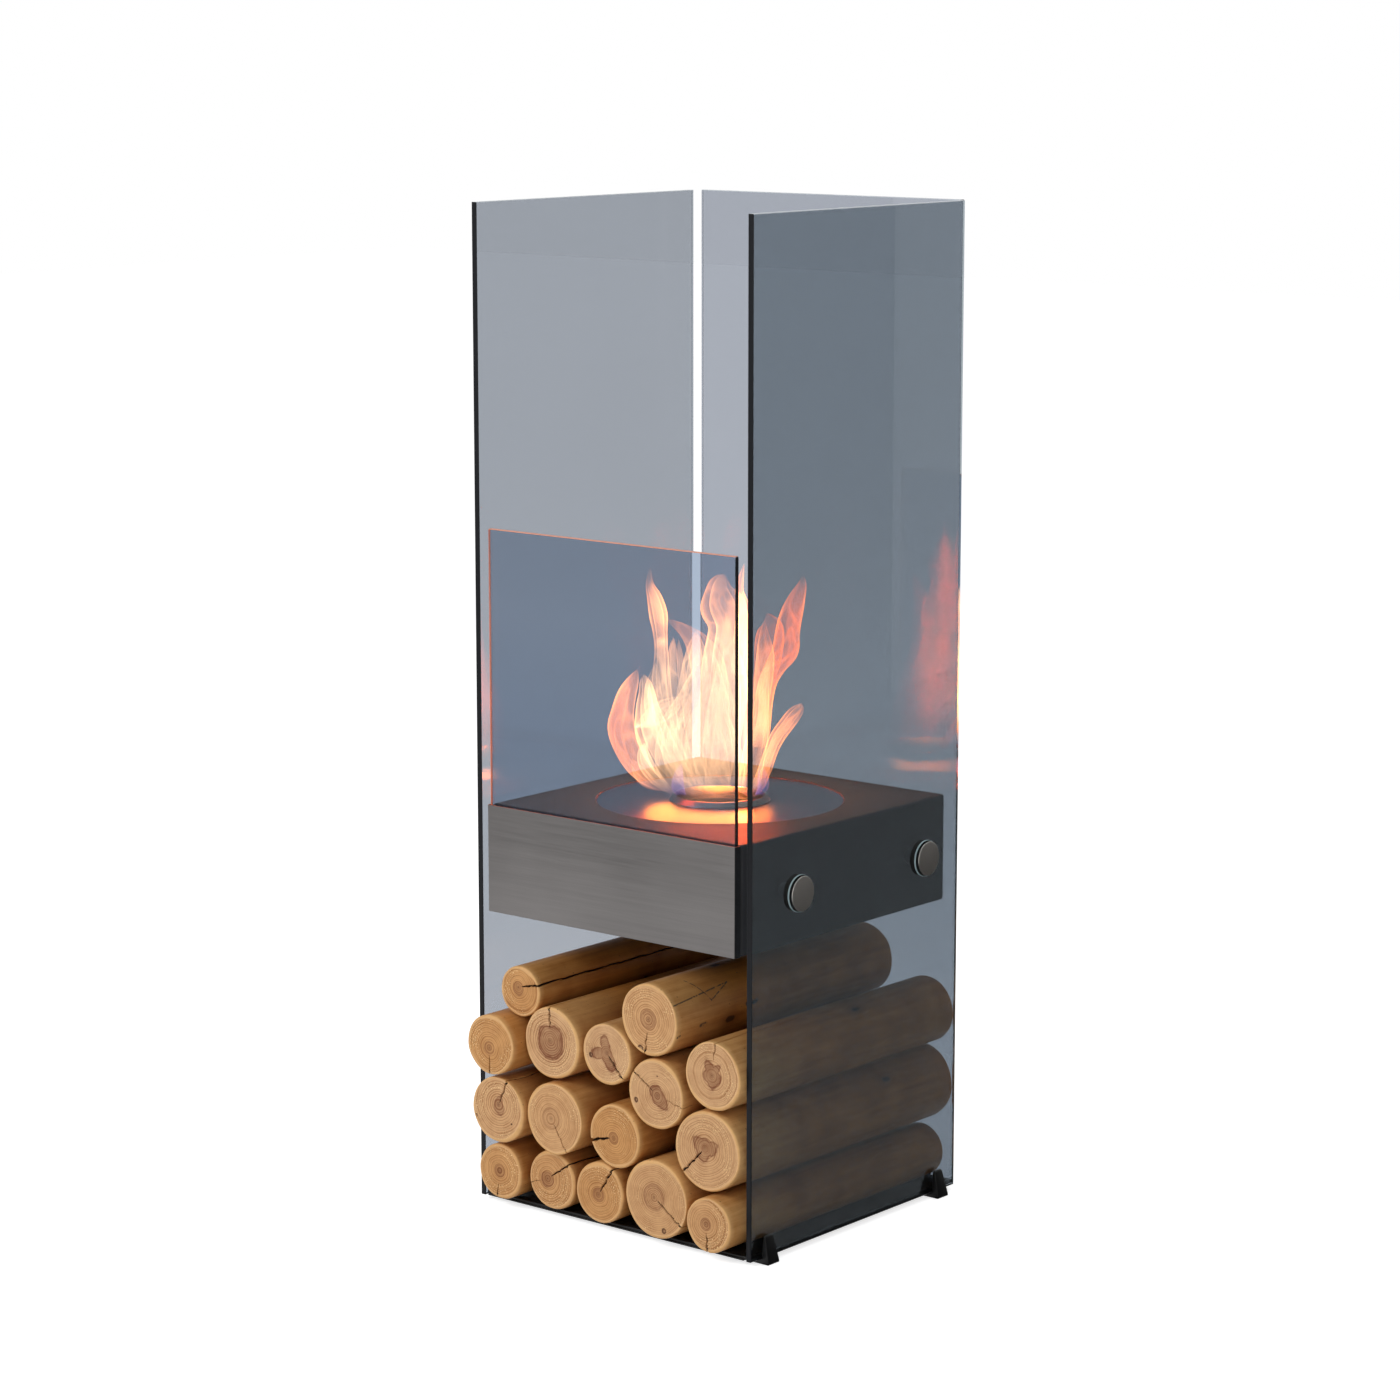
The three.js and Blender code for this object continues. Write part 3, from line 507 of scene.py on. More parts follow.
middle_radius = fascia_bend - fascia_sheet / 2
half = fascia_high[0] - fascia_bend
front = fascia_low[1] + fascia_bend
turns = np.linspace(math.pi, 1.5 * math.pi, 9)
left_bend = np.stack([-half + middle_radius * np.cos(turns), front + middle_radius * np.sin(turns)], -1)
across = np.stack([np.linspace(-half, half, 42)[1:-1], np.full(40, front - middle_radius)], -1)
right_bend = left_bend[::-1] * np.array([-1, 1])
left_end = np.array([[left_bend[0, 0], fascia_high[1]]])
right_end = left_end * np.array([-1, 1])
fascia_path = np.concatenate([left_end, left_bend, across, right_bend, right_end])
way = np.gradient(fascia_path, axis=0)
way /= np.linalg.norm(way, axis=1)[:, None]
# the gradient is skewed where the long straight ends meet the bends: they run straight back
way[0], way[1], way[-1], way[-2] = (0, -1), (0, -1), (0, 1), (0, 1)
fascia_normals = np.stack([way[:, 1], -way[:, 0]], -1)
half_height, mid_height = (fascia_high[2] - fascia_low[2]) / 2, (fascia_high[2] + fascia_low[2]) / 2
fascia_section = rounded_ring(fascia_sheet / 2, half_height, fascia_edge, 4, 2) + (0, mid_height)
fascia = swept("fascia_sheet", fascia_path, fascia_normals, fascia_section)
sharp_by_angle(fascia)


brushed_lines, (place, colour, rough, stretch), result = new_group(
    "brushed_lines", {"Place": "Vector", "Colour": "Color", "Roughness": "Float", "Stretch": "Vector"},
    {"Colour": "Color", "Roughness": "Float", "Height": "Float"})
hairs = (noise(place, 900, 3, 0.6, stretch=stretch) + noise(place, 160, 2, 0.5, stretch=stretch)) * 0.5
feed(result["Colour"], shaded(colour, spread(hairs + noise(place, 5, 2), 0.7, 1.3, 0.84, 1.16)))
feed(result["Roughness"], rough * spread(hairs, 0.3, 0.7, 0.85, 1.15))
feed(result["Height"], hairs)


def brushed_look(name, colour, rough, stretch, place_of=own_place):
    """Brushed stainless: hair lines stretched along the grain vary the tone, the roughness and the
    height; broad clouds vary the tone a little more."""
    look, tree = new_material(name)
    lines = node(tree, "Group", node_tree=brushed_lines, Place=place_of(tree), Colour=(*colour, 1),
                 Roughness=rough, Stretch=stretch).outputs
    bump = node(tree, "Bump", Height=lines["Height"], Strength=0.5, Distance=0.00003)
    return surfaced(look, Base_Color=lines["Colour"], Roughness=lines["Roughness"], Normal=bump,
                    Metallic=1.0)


fascia.data.materials.append(brushed_look("fascia_steel", (0.135, 0.128, 0.126), 0.40, (0.02, 1, 1)))
# painted light: a near-black painted shade for the bent-back ends, a painted glow of the fire for the upper
# edge
fascia.data.materials.append(coat_look("fascia_return_painted_shade", (0.010, 0.010, 0.011), 0.45, level=0.12))
fascia.data.materials.append(coat_look("fascia_painted_fire_glow", (0.34, 0.075, 0.03), 0.4, level=0.5))
# painted light: the upper edge has a painted glow of the fire, and the bent-back ends a near-black painted
# shade
facing = per_face(fascia.data, "normal")
share_out(fascia.data, np.where(facing[:, 2] > 0.7, 2, np.abs(facing[:, 0]) > 0.5))
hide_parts("fascia")
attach(fascia, "frame")
black_coat = coat_look("black_coat", (0.006, 0.006, 0.0065), 0.40, level=0.25)
dressed("screen_channel", black_coat)

# ----------------------------------------------------------------
# Burner: a satin stainless disc sunk in the tray, the raised mouth in its middle and, below, the fuel
# can with its fibre block. The disc and the mouth are turned about one upright axis from a closed profile.
plate_low, plate_high = map(np.array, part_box("burner_plate"))
burner_axis = (plate_low + plate_high)[:2] / 2
plate_top = plate_high[2]


def rounded_corners(profile, radii):
    """A closed profile whose corners are cut by quadratic curves: each corner p becomes the curve from
    a point r before it to a point r after it, with p as its control point."""
    p = np.array(profile, float)
    t = np.linspace(0, 1, 5)[:, None]
    out = []
    for before, here, after, r in zip(np.roll(p, 1, 0), p, np.roll(p, -1, 0), radii):
        if r == 0:
            out.append(here[None])
            continue
        start, end = (here + way * min(r / np.linalg.norm(way), 0.45)
                      for way in (before - here, after - here))
        out.append((1 - t) ** 2 * start + 2 * t * (1 - t) * here + t ** 2 * end)
    return np.concatenate(out)


def turned(name, profile, centre, axes=((1, 0, 0), (0, 1, 0), (0, 0, 1)), steps=128, open_axis=False):
    """Turns a closed profile of (radius, height) about an axis through centre: point = centre
    + radius * (cos a * axes[0] + sin a * axes[1]) + height * axes[2]. Where the profile ends on the
    axis, its first and last points are single points."""
    ax, ay, az = np.array(axes, float)
    angle = np.linspace(0, 2 * math.pi, steps, endpoint=False)[:, None]
    round_way = np.cos(angle) * ax + np.sin(angle) * ay
    body = profile[1:-1] if open_axis else profile
    points = (body[:, None, :1] * round_way + body[:, None, 1:] * az + np.array(centre)).reshape(-1, 3)
    faces = grid_faces(len(body), steps, rows_meet=not open_axis).tolist()
    if open_axis:
        poles = np.array(centre) + profile[[0, -1], 1][:, None] * az
        ring, after = np.arange(steps), (np.arange(steps) + 1) % steps
        first, top = np.full(steps, len(points)), (len(body) - 1) * steps
        faces += np.column_stack([first, after, ring]).tolist()
        faces += np.column_stack([first + 1, top + ring, top + after]).tolist()
        points = np.concatenate([points, poles])
    made = facing_out(mesh_object(name, points, faces))
    sharp_by_angle(made, 40)
    return made


plate_radius = 0.151
mouth_radius = 0.0535
collar_outer = 0.055
gap = 0.0003
plate_profile = rounded_corners([(collar_outer + gap, plate_low[2]), (plate_radius, plate_low[2]),
                                 (plate_radius, plate_top), (collar_outer + gap, plate_top)],
                                (0.0002, 0.0003, 0.0006, 0.0002))
burner_centre = (*burner_axis, 0.0)
plate = turned("plate_disc", plate_profile, burner_centre, steps=240)
plate.data.materials.append(brushed_look("plate_steel", (0.295, 0.30, 0.325), 0.31, (0.02, 1, 1)))
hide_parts("burner_plate")
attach(plate, "burner")


def round_the_axis(tree):
    """A place that runs round the burner's axis: (angle * 0.06, radius, height)."""
    moved = node(tree, "Mapping", own_place(tree), Location=(-burner_axis[0], -burner_axis[1], 0))
    x, y, z = map(Pattern, node(tree, "SeparateXYZ", moved).outputs)
    return Pattern(node(tree, "CombineXYZ", y.math("ARCTAN2", x) * 0.06,
                        (x * x + y * y).math("SQRT"), z))


collar_top = plate_top + 0.0075
collar_depth = 0.009
flange_radius = 0.0608
flange_sheet = 0.0008
roll = 0.0017
roll_turn = np.radians(np.linspace(25, 180, 11))
roll_curve = np.column_stack([mouth_radius + roll + roll * np.cos(roll_turn),
                              collar_top - roll + roll * np.sin(roll_turn)])
flange_under = plate_top + gap
collar_foot = rounded_corners([
    (mouth_radius, plate_top - collar_depth), (collar_outer, plate_top - collar_depth),
    (collar_outer, flange_under), (flange_radius, flange_under),
    (flange_radius, flange_under + flange_sheet), roll_curve[0]], (0, 0.0003, 0.0002, 0.0003, 0.0005, 0))
collar_profile = np.concatenate([collar_foot[:-1], roll_curve])
collar = turned("mouth_ring", collar_profile, burner_centre, steps=200)
collar.data.materials.append(brushed_look("mouth_steel", (0.42, 0.36, 0.31), 0.22, (0.05, 1, 1),
                                          round_the_axis))
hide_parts("burner_collar")
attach(collar, "burner")
dressed("fuel_can", brushed_look("can_steel", (0.40, 0.39, 0.38), 0.35, (0.05, 1, 1)))
dressed("wick_block", coat_look("ceramic_fibre", (0.55, 0.50, 0.42), 0.9, 500, 0.0004))

# ----------------------------------------------------------------
# Stand-offs: through each pane two turned steel caps hold the tray. On the glass sits a black rubber
# gasket, on it a clear washer whose rim has a painted aqua highlight, then the cap's neck and disc,
# whose sides have a painted shade; a black rubber spacer, painted a lighter grey that stands in for
# light, keeps glass and tray apart.
cap_face = 0.0132
disc_radius = 0.0213
disc_under = 0.0110
neck_radius = 0.0196
neck_under = 0.0096
stud_radius = 0.004
stud_end = -0.0193
washer_radius = 0.0228
washer_under, shine_from, washer_top = 0.0061, 0.0073, 0.0093
gasket_radius, gasket_bore = 0.0223, 0.0087
gasket_under, gasket_top = 0.0003, 0.0058
sleeve_radius = 0.0084
sleeve_end = -0.0077
spacer_radius = 0.0100
spacer_end, spacer_top = -0.0210, -0.0083
bore_radius = 0.0043
cap_profile = rounded_corners([
    (0, stud_end), (stud_radius, stud_end), (stud_radius, neck_under), (neck_radius, neck_under),
    (neck_radius, disc_under), (disc_radius, disc_under), (disc_radius, cap_face), (0, cap_face)],
    (0, 0.0005, 0.0002, 0.0002, 0.0002, 0.0003, 0.0005, 0))
washer_profile = rounded_corners([
    (bore_radius, sleeve_end), (sleeve_radius, sleeve_end), (sleeve_radius, washer_under),
    (washer_radius, washer_under), (washer_radius, shine_from), (washer_radius, washer_top),
    (bore_radius, washer_top)], (0.0002, 0.0002, 0.0002, 0.0004, 0, 0.0004, 0.0002))
gasket_profile = rounded_corners([
    (gasket_bore, gasket_under), (gasket_radius, gasket_under), (gasket_radius, gasket_top),
    (gasket_bore, gasket_top)], (0.0002, 0.0006, 0.0006, 0.0002))
spacer_profile = rounded_corners([
    (bore_radius, spacer_end), (spacer_radius, spacer_end), (spacer_radius, spacer_top),
    (bore_radius, spacer_top)], (0.0002, 0.0008, 0.0008, 0.0002))


def washer_look(name, low, high):
    """Aqua plastic: two close tones in small clouds, and a little light let through."""
    look, tree = new_material(name)
    return surfaced(look, Base_Color=two_toned(tree, 200, 2, low, high), Roughness=0.22,
                    Transmission_Weight=0.1, IOR=1.45)


def vector_math(operation, pattern, *others, output="Vector"):
    """Vectors through one Vector Math node."""
    return Pattern(node(pattern.tree, "VectorMath", pattern, *others, operation=operation), output)


def bands(distance, scale, detail):
    """Noise along a distance, so that it runs in bands across it."""
    return Pattern(node(distance.tree, "TexNoise", noise_dimensions="1D", W=distance, Scale=scale,
                        Detail=detail))


lathe_lines, (place, centre, colour), result = new_group(
    "lathe_lines", {"Place": "Vector", "Centre": "Vector", "Colour": "Color"},
    {"Colour": "Color", "Height": "Float"})
rings = bands(vector_math("DISTANCE", place, centre, output="Value"), 4200, 2)
feed(result["Colour"], shaded(colour, rings * 0.4 + 0.8))
feed(result["Height"], rings)


def cap_steel(name, centre):
    """Steel faced on a lathe: hair lines run round the cap's own centre, so the sheen is radial."""
    look, tree = new_material(name)
    lines = node(tree, "Group", node_tree=lathe_lines, Place=own_place(tree), Centre=tuple(centre),
                 Colour=(0.68, 0.645, 0.605, 1)).outputs
    bump = node(tree, "Bump", Height=lines["Height"], Strength=0.4, Distance=0.00002)
    return surfaced(look, Base_Color=lines["Colour"], Normal=bump, Metallic=1.0, Roughness=0.40,
                    Anisotropic=0.6)


# painted highlight: the washer's outer rim is a light aqua, standing for the light it catches
washer_rim_painted_highlight = washer_look("washer_rim_painted_highlight", linear(156, 182, 188), linear(190, 211, 217))
washer_face = washer_look("washer_face", linear(14, 16, 17), linear(22, 26, 27))
rubber_look = coat_look("black_rubber", (0.006, 0.006, 0.006), 0.7, 900, 0.00005)
# painted light: the black rubber spacer is painted a lighter grey, standing for light it doesn't get in the
# narrow gap
spacer_painted_light_look = coat_look("spacer_painted_lighter", (0.095, 0.097, 0.103), 0.6, 900, 0.00002, 0.06)
# painted shade: the cap's neck and the side of its disc are near black
cap_side_shade_look = coat_look("cap_side_painted_shade", (0.012, 0.012, 0.013), 0.5, 900, 0.00001)
pane_faces = {
    "left": (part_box("left_pane")[0][0], 0, (-1, 0, 0)),
    "right": (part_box("right_pane")[1][0], 0, (1, 0, 0)),
    "back": (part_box("back_pane")[1][1], 1, (0, 1, 0)),
}
face_edge = 0.0007
rim_edge = 0.0005

for label in sorted(name.removeprefix("standoff_cap_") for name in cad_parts
                    if name.startswith("standoff_cap_")):
    level, axis, outward = pane_faces[label.split("_")[0]]
    centre = np.mean(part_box("standoff_cap_" + label), axis=0)
    centre[axis] = level
    outward = np.array(outward, float)
    axes = (np.cross((0, 0, 1), outward), (0, 0, 1), outward)
    turned_steel = cap_steel("cap_steel_" + label, centre + outward * cap_face)
    for kind, profile, slot, looks in (
            ("cap", cap_profile, "cap_steel", (turned_steel, cap_side_shade_look)),
            ("washer", washer_profile, "clear_washer", (washer_face, washer_rim_painted_highlight)),
            ("gasket", gasket_profile, "black_rubber", (rubber_look,)),
            ("spacer", spacer_profile, "black_rubber", (spacer_painted_light_look,))):
        part = turned(f"{kind}_{label}", profile, centre, axes, 96, open_axis=kind == "cap")
        for look in looks:
            part.data.materials.append(look)
        from_pane = per_face(part.data, "center") - centre
        height = from_pane @ outward
        # the cap's sides below its face take the painted shade, the washer's outer rim the painted highlight
        if kind == "cap":
            share_out(part.data, height < cap_face - face_edge)
        if kind == "washer":
            radius = np.linalg.norm(from_pane - height[:, None] * outward, axis=1)
            share_out(part.data, (radius > washer_radius - rim_edge) & (height > shine_from))
        part.visible_glossy = part.visible_shadow = part.visible_diffuse = False
        part.visible_transmission = kind == "spacer"
        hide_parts(f"standoff_{kind}_{label}")
        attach(part, "frame")

# ----------------------------------------------------------------
# Feet and base plate: cast wedges that grip the lower edges of the panes, and the folded black plate
# that lies on their tabs. The wedges are the solids with every edge eased, as a casting has.
same_point = 1e-5
flat_angle = math.radians(4)
edge_angle = math.radians(28)


def eased(name, label, width, material):
    """A copy of a solid with its doubles merged, its flat faces made whole and its edges rounded."""
    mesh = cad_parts[name].data.copy()
    mesh.name = label
    made = bpy.data.objects.new(label, mesh)
    scene.collection.objects.link(made)
    work = bmesh.new()
    work.from_mesh(mesh)
    bmesh.ops.remove_doubles(work, verts=work.verts, dist=same_point)
    bmesh.ops.dissolve_limit(work, angle_limit=flat_angle, verts=work.verts, edges=work.edges)
    work.to_mesh(mesh)
    work.free()
    mesh.materials.clear()
    mesh.materials.append(material)
    bevel = made.modifiers.new("eased_edges", "BEVEL")
    bevel.width = width
    bevel.segments = 3
    bevel.limit_method = "ANGLE"
    bevel.angle_limit = edge_angle
    mesh.polygons.foreach_set("use_smooth", np.ones(len(mesh.polygons), bool))
    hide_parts(name)
    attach(made, "frame")


clamp_look = coat_look("clamp_black", (0.004, 0.004, 0.0045), 0.42, 700, 0.00003, 0.3)
for name in sorted(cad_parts):
    if name.startswith("foot_"):
        eased(name, name.replace("foot", "clamp"), 0.0009, clamp_look)
eased("base_plate", "base_sheet", 0.0005, black_coat)

# ----------------------------------------------------------------
# Logs: sixteen peeled softwood logs with sawn ends. Each is one closed surface: rows run from the
# pith over the front face, over a worn rim, along the side and in over the back face. Drying cracks
# are real grooves that run from near the pith to the rim and on along the side.

# Each log: pith (mm right of and above the face's middle); heart outline as (degrees, mm) points, or
# one radius; how brown the heart is; how strongly it shows only as rings; how golden the sapwood is;
# cracks as (degrees, starts at mm, width mm, run along the side mm).
log_marks = {
    1: ((-2, 1), 8, 0.75, 0.7, 0.8, [(-98, 17, 1.6, 25)]),
    2: ((-8, 1), [(0, 10), (90, 9), (180, 11), (250, 12)], 0.6, 0.1, 0.7,
        [(34, 6, 2.0, 400), (-160, 11, 0.5, 5)]),
    3: ((-3, -3), 9, 0.6, 0.2, 0.85, [(58, 4, 2.6, 260)]),
    4: ((-3, 2), 17, 0.75, 0.9, 0.35, [(-36, 5, 2.3, 70)]),
    5: ((-4, 1), 8, 0.7, 0.5, 0.5, [(-86, 10, 2.2, 40)]),
    6: ((1, 7), [(72, 13), (20, 7), (-20, 10), (-70, 15), (-110, 12), (180, 8), (120, 8)], 0.7, 0.2,
        0.25, [(66, 2, 2.0, 70)]),
    7: ((-5, 0), 14, 0.55, 0.8, 0.4, [(-58, 6, 1.3, 50)]),
    8: ((-2, -2), 8, 0.65, 0.4, 0.95, [(-166, 6, 3.6, 110)]),
    9: ((3, -1), [(-42, 22), (0, 12), (50, 10), (95, 14), (140, 15), (200, 10), (262, 12)], 0.85, 0.1, 0.2,
        [(148, 8, 1.8, 140), (-14, 13, 0.8, 30)]),
    10: ((-4, 4), [(20, 23), (52, 12), (110, 13), (150, 21), (200, 14), (262, 19), (310, 12)], 0.85, 0.4,
         0.2, [(-134, 6, 2.4, 60)]),
    11: ((-2, -4), 9, 0.5, 0.3, 0.9, [(-90, 8, 1.4, 30)]),
    12: ((-3, 3), [(0, 22), (50, 24), (95, 19), (140, 22), (190, 20), (240, 24), (300, 25)], 0.95, 0.35,
         0.1, [(92, 14, 2.4, 80)]),
    13: ((0, 2), [(-70, 26), (-45, 22), (-15, 10), (35, 8), (72, 13), (95, 24), (118, 21), (148, 9),
                  (176, 24), (200, 27), (225, 12), (255, 14)], 0.9, 0.0, 0.05, [(-50, 3, 2.8, 30)]),
    14: ((-1, 2), [(0, 15), (26, 11), (48, 20), (75, 12), (116, 21), (150, 12), (185, 15), (235, 12),
                   (270, 19), (320, 14)], 0.85, 0.1, 0.15, [(83, 18, 1.4, 200)]),
    15: ((-3, 5), [(0, 8), (100, 7), (180, 9), (270, 12)], 0.6, 0.2, 0.9, [(12, 4, 2.6, 460)]),
    16: ((-1, 1), 12, 0.75, 0.85, 0.45, [(-97, 16, 1.8, 50)]),
}
# Knots and dents on the sawn faces: log, degrees, part of the rim radius, mm radius.
face_knots = [(4, -72, 0.80, 3.4), (16, -110, 0.86, 4.0), (9, 201, 0.76, 3.2), (9, 84, 0.52, 1.2),
              (6, 200, 0.93, 2.6), (6, -33, 0.62, 1.4), (16, -100, 0.93, 3.0), (13, 190, 0.66, 3.0)]
# Knots on the sides: log, degrees, mm from the front, mm radius.
side_knots = [(16, 88, 125, 6.0), (16, -17, 104, 6.5), (14, 60, 250, 5.0), (10, 35, 300, 5.5),
              (12, 70, 160, 5.0), (7, 80, 210, 5.0), (4, 60, 120, 4.0), (15, -40, 210, 4.0)]
# Blue-green marks on the side of log 16, each from and to (degrees, mm from the front), mm half width.
side_stains = [((30, 2), (43, 110), 0.9), ((43, 110), (22, 70), 0.8), ((22, 70), (68, 48), 0.7),
               ((-12, 46), (-11, 56), 2.2), ((-21, 4), (-19, 8), 1.5), ((0, 134), (3, 148), 2.6)]
log_columns = 200
log_bevel = 0.0026


def smooth_waves(t, seed, count=4):
    """A wandering line about 0, sum of a_k / k * sin(k * t + b_k)."""
    rng = np.random.default_rng(seed)
    return sum(rng.uniform(-1, 1) / k * np.sin(k * t + rng.uniform(0, 2 * math.pi))
               for k in range(1, count + 1))


def turn_gap(angle, degrees):
    """The signed angle from a direction, within half a turn."""
    return (angle - math.radians(degrees) + math.pi) % (2 * math.pi) - math.pi


def crowded_angles(cracks):
    """Angles round a full turn, closer together at each crack: a density of 1 plus a bell at each
    crack is summed, and the sum is read back at even steps."""
    fine = np.linspace(-math.pi, math.pi, 4001)
    density = 1 + sum(7 * np.exp(-(turn_gap(fine, crack[0]) / 0.11) ** 2) for crack in cracks)
    total = np.concatenate([[0], np.cumsum((density[1:] + density[:-1]) / 2)])
    return np.interp(np.linspace(0, total[-1], log_columns, endpoint=False), total, fine)


def log_rows(length):
    """A log's rows, from the pith of the front face over the rim and the side to the back face, as five
    columns: t, the part of the way from pith to rim; the place along the log; how far a row has come
    through the rounding of the rim; and whether it is on the front face or on the side."""
    face = np.linspace(0, 1, 31)[1:] ** 0.85
    arc = np.linspace(0, math.pi / 2, 5)[1:]
    side = np.linspace(0, 1, 44)[1:-1]
    back = face[::-3]
    t = np.concatenate([face, np.ones(2 * len(arc) + len(side)), back])
    along = np.concatenate([
        0 * face, log_bevel * (1 - np.cos(arc)), log_bevel + (length - 2 * log_bevel) * side,
        length - log_bevel * (1 - np.cos(arc[::-1])), length + 0 * back])
    full = np.concatenate([0 * face, np.sin(arc), np.ones(len(side)), np.sin(arc[::-1]) * 0.999, 0 * back])
    row = np.arange(len(t))
    front = row < len(face)
    on_side = ~front & (row < len(t) - len(back))
    return [column[:, None] for column in (t, along, full, front, on_side)]


def rim_radius(number, theta, along, off, reach):
    """The way from the pith to the rim: that to the ellipse that fills the solid, which is the positive
    root of a r^2 + 2 b r + c = 0, eased inward by slow waves."""
    cosine, sine = np.cos(theta), np.sin(theta)
    a = (cosine / reach[0]) ** 2 + (sine / reach[1]) ** 2
    b = off[0] * cosine / reach[0] ** 2 + off[1] * sine / reach[1] ** 2
    c = (off / reach) @ (off / reach) - 1
    slow = 1 + smooth_waves(theta, 50 + number, 3) + 0.6 * smooth_waves(3 * theta, 70 + number, 3)
    drift = 1 + smooth_waves(2 * theta + 11 * along, 90 + number, 4)
    inward = (1 - np.clip(0.016 * slow, 0, 0.05)) * (1 - np.clip(0.004 * drift, 0, 0.01))
    return (-b + np.sqrt(b ** 2 - a * c)) / a * inward


def knot_distance(number, theta, x, z, along, reach, front, on_side):
    """How far each point is from the nearest knot, in radii of the knot, and 9 where none is near."""
    knot = np.full(x.shape, 9.0)
    for log, degrees, part, size in face_knots:
        if log == number:
            place = part * reach * (math.cos(math.radians(degrees)), math.sin(math.radians(degrees)))
            near = np.hypot(x - place[0], z - place[1]) / (size / 1000)
            knot = np.minimum(knot, np.where(front, near, 9.0))
    for log, degrees, deep, size in side_knots:
        if log == number:
            near = np.hypot(turn_gap(theta, degrees) * reach.mean(), 0.55 * (along - deep / 1000))
            knot = np.minimum(knot, np.where(on_side, near / (size / 1000), 9.0))
    return knot


def heart_radius(theta, heart):
    """The heart's radius in mm in each direction, read between the points of its outline."""
    if not isinstance(heart, list):
        return np.full(theta.shape, float(heart))
    degrees, sizes = np.array(heart, float).T
    return np.interp(np.degrees(theta), degrees, sizes, period=360)


def log_surface(number, low, high):
    """Points as rows x columns x 3 and the fields crack, t, heart and knot at each. On the faces a
    point is pith + t * (rim - pith). A crack lowers the surface by a bell of its own width about a
    jagged line."""
    pith_mm, heart, _, _, _, cracks = log_marks[number]
    centre = (low + high)[[0, 2]] / 2
    reach = (high - low)[[0, 2]] / 2
    off = np.array(pith_mm) / 1000
    theta = crowded_angles(cracks)[None]
    cosine, sine = np.cos(theta), np.sin(theta)
    t, along, full, front, on_side = log_rows(high[1] - low[1])
    rim = rim_radius(number, theta, along, off, reach)
    ease = log_bevel * (1 + 0.7 * smooth_waves(theta, 120 + number, 7))
    radius = (rim - ease * (1 - full)) * t
    crack, sink_in, sink_down = np.zeros((3, *radius.shape))
    for index, (degrees, inner, width, run) in enumerate(cracks):
        seed = 300 + 10 * number + index
        jag = np.where(on_side, 0.0012 * smooth_waves(60 * along, seed, 6),
                       0.0009 * smooth_waves(radius * 420, seed, 7) * np.clip(t * 1.6, 0, 1))
        grow = np.clip((radius * 1000 - inner) / 9, 0, 1) * front
        fade = np.clip(1 - along * 1000 / run, 0, 1) ** 0.6 * on_side
        amount = np.maximum(grow, fade)
        half_width = width / 2000 * (0.3 + 0.7 * amount) * (
            0.85 + 0.35 * smooth_waves(radius * 700 + along * 70, seed + 5, 4))
        across = turn_gap(theta, degrees) * np.where(on_side, rim, radius) + jag
        bell = np.exp(-(across / np.maximum(half_width, 0.00012)) ** 4) * np.minimum(1, amount * 4)
        crack = np.maximum(crack, bell)
        sink_in += 0.006 * bell * amount * front
        sink_down += 0.004 * bell * amount * on_side
    x, z = off[0] + cosine * radius, off[1] + sine * radius
    knot = knot_distance(number, theta, x, z, along, reach, front, on_side)
    hollow = np.exp(-(knot / 0.7) ** 2)
    radius = radius - sink_down - 0.0012 * hollow * on_side
    saw = 0.0003 * (1 + smooth_waves(radius * 800, 900 + number, 4)) * (t < 1)
    y = low[1] + along + front * (sink_in + saw + 0.0015 * hollow)
    x, z = centre[0] + off[0] + cosine * radius, centre[1] + off[1] + sine * radius
    ratio = radius * 1000 / heart_radius(theta, heart)
    fields = np.stack(np.broadcast_arrays(crack, t, ratio, knot), -1)
    return np.stack([x, y, z], -1), fields, theta, along, on_side[:, 0]


def ramp(value, start, stop, low=0.0, high=1.0):
    """A smooth step of value from start to stop, as low to high."""
    step = spread(value, start, stop, low, high)
    step.socket.node.interpolation_type = "SMOOTHSTEP"
    return step


end_grain, given, result = new_group("end_grain", {
    "Place": "Vector", "Rim": "Float", "Heart": "Float", "Knot": "Float", "Ring Spacing": "Float",
    "Heart Amount": "Float", "Ring Heart": "Float", "Golden": "Float", "Seed": "Float"},
    {"Colour": "Color", "Height": "Float"})
place, rim, heart, knot, ring_spacing, heart_amount, ring_heart, golden, seed = given
# growth rings: each darkens slowly and ends sharply, with a fine second line between two of them
from_pith = vector_math("LENGTH", place, output="Value")
drifted = from_pith + noise(place, 40, seed=seed) * 0.0055
phase = bands(seed * 7.3 + drifted, 170, 1) * 1.6 + drifted / ring_spacing
saw, fine_saw = phase.math("FRACT"), (phase * 2.0).math("FRACT")
line = ramp(saw, 0.40, 0.86) * ramp(saw, 0.88, 1.0, 1.0, 0.0)
fine_line = ramp(fine_saw, 0.3, 0.8) * ramp(fine_saw, 0.85, 1.0, 1.0, 0.0)
sector = noise(place, 26, 3, seed=seed)
line = line * ramp(sector, 0.30, 0.62, 0.35, 1.0) + fine_line * 0.28
grey_patch = ramp(noise(place, 55, 4, 0.6, seed), 0.35, 0.7, 0.0, 0.32)
line = line * 0.72 + grey_patch
cream = mix(golden, linear(215, 173, 129), linear(206, 153, 95))
brown = mix(golden, linear(166, 119, 78), linear(152, 99, 50))
wood = mix(line.math("MINIMUM", 1.0), cream, brown)
speckle = noise(place, 1100, 2, seed=seed)
wood = mix(ramp(speckle, 0.54, 0.70, 0.0, 0.35), wood, brown)
resin = ramp(noise(place, 620, 1, seed=seed), 0.60, 0.66) * ramp(sector, 0.46, 0.58)
wood = mix(resin * ramp(rim, 0.42, 0.66), wood, linear(244, 214, 160))
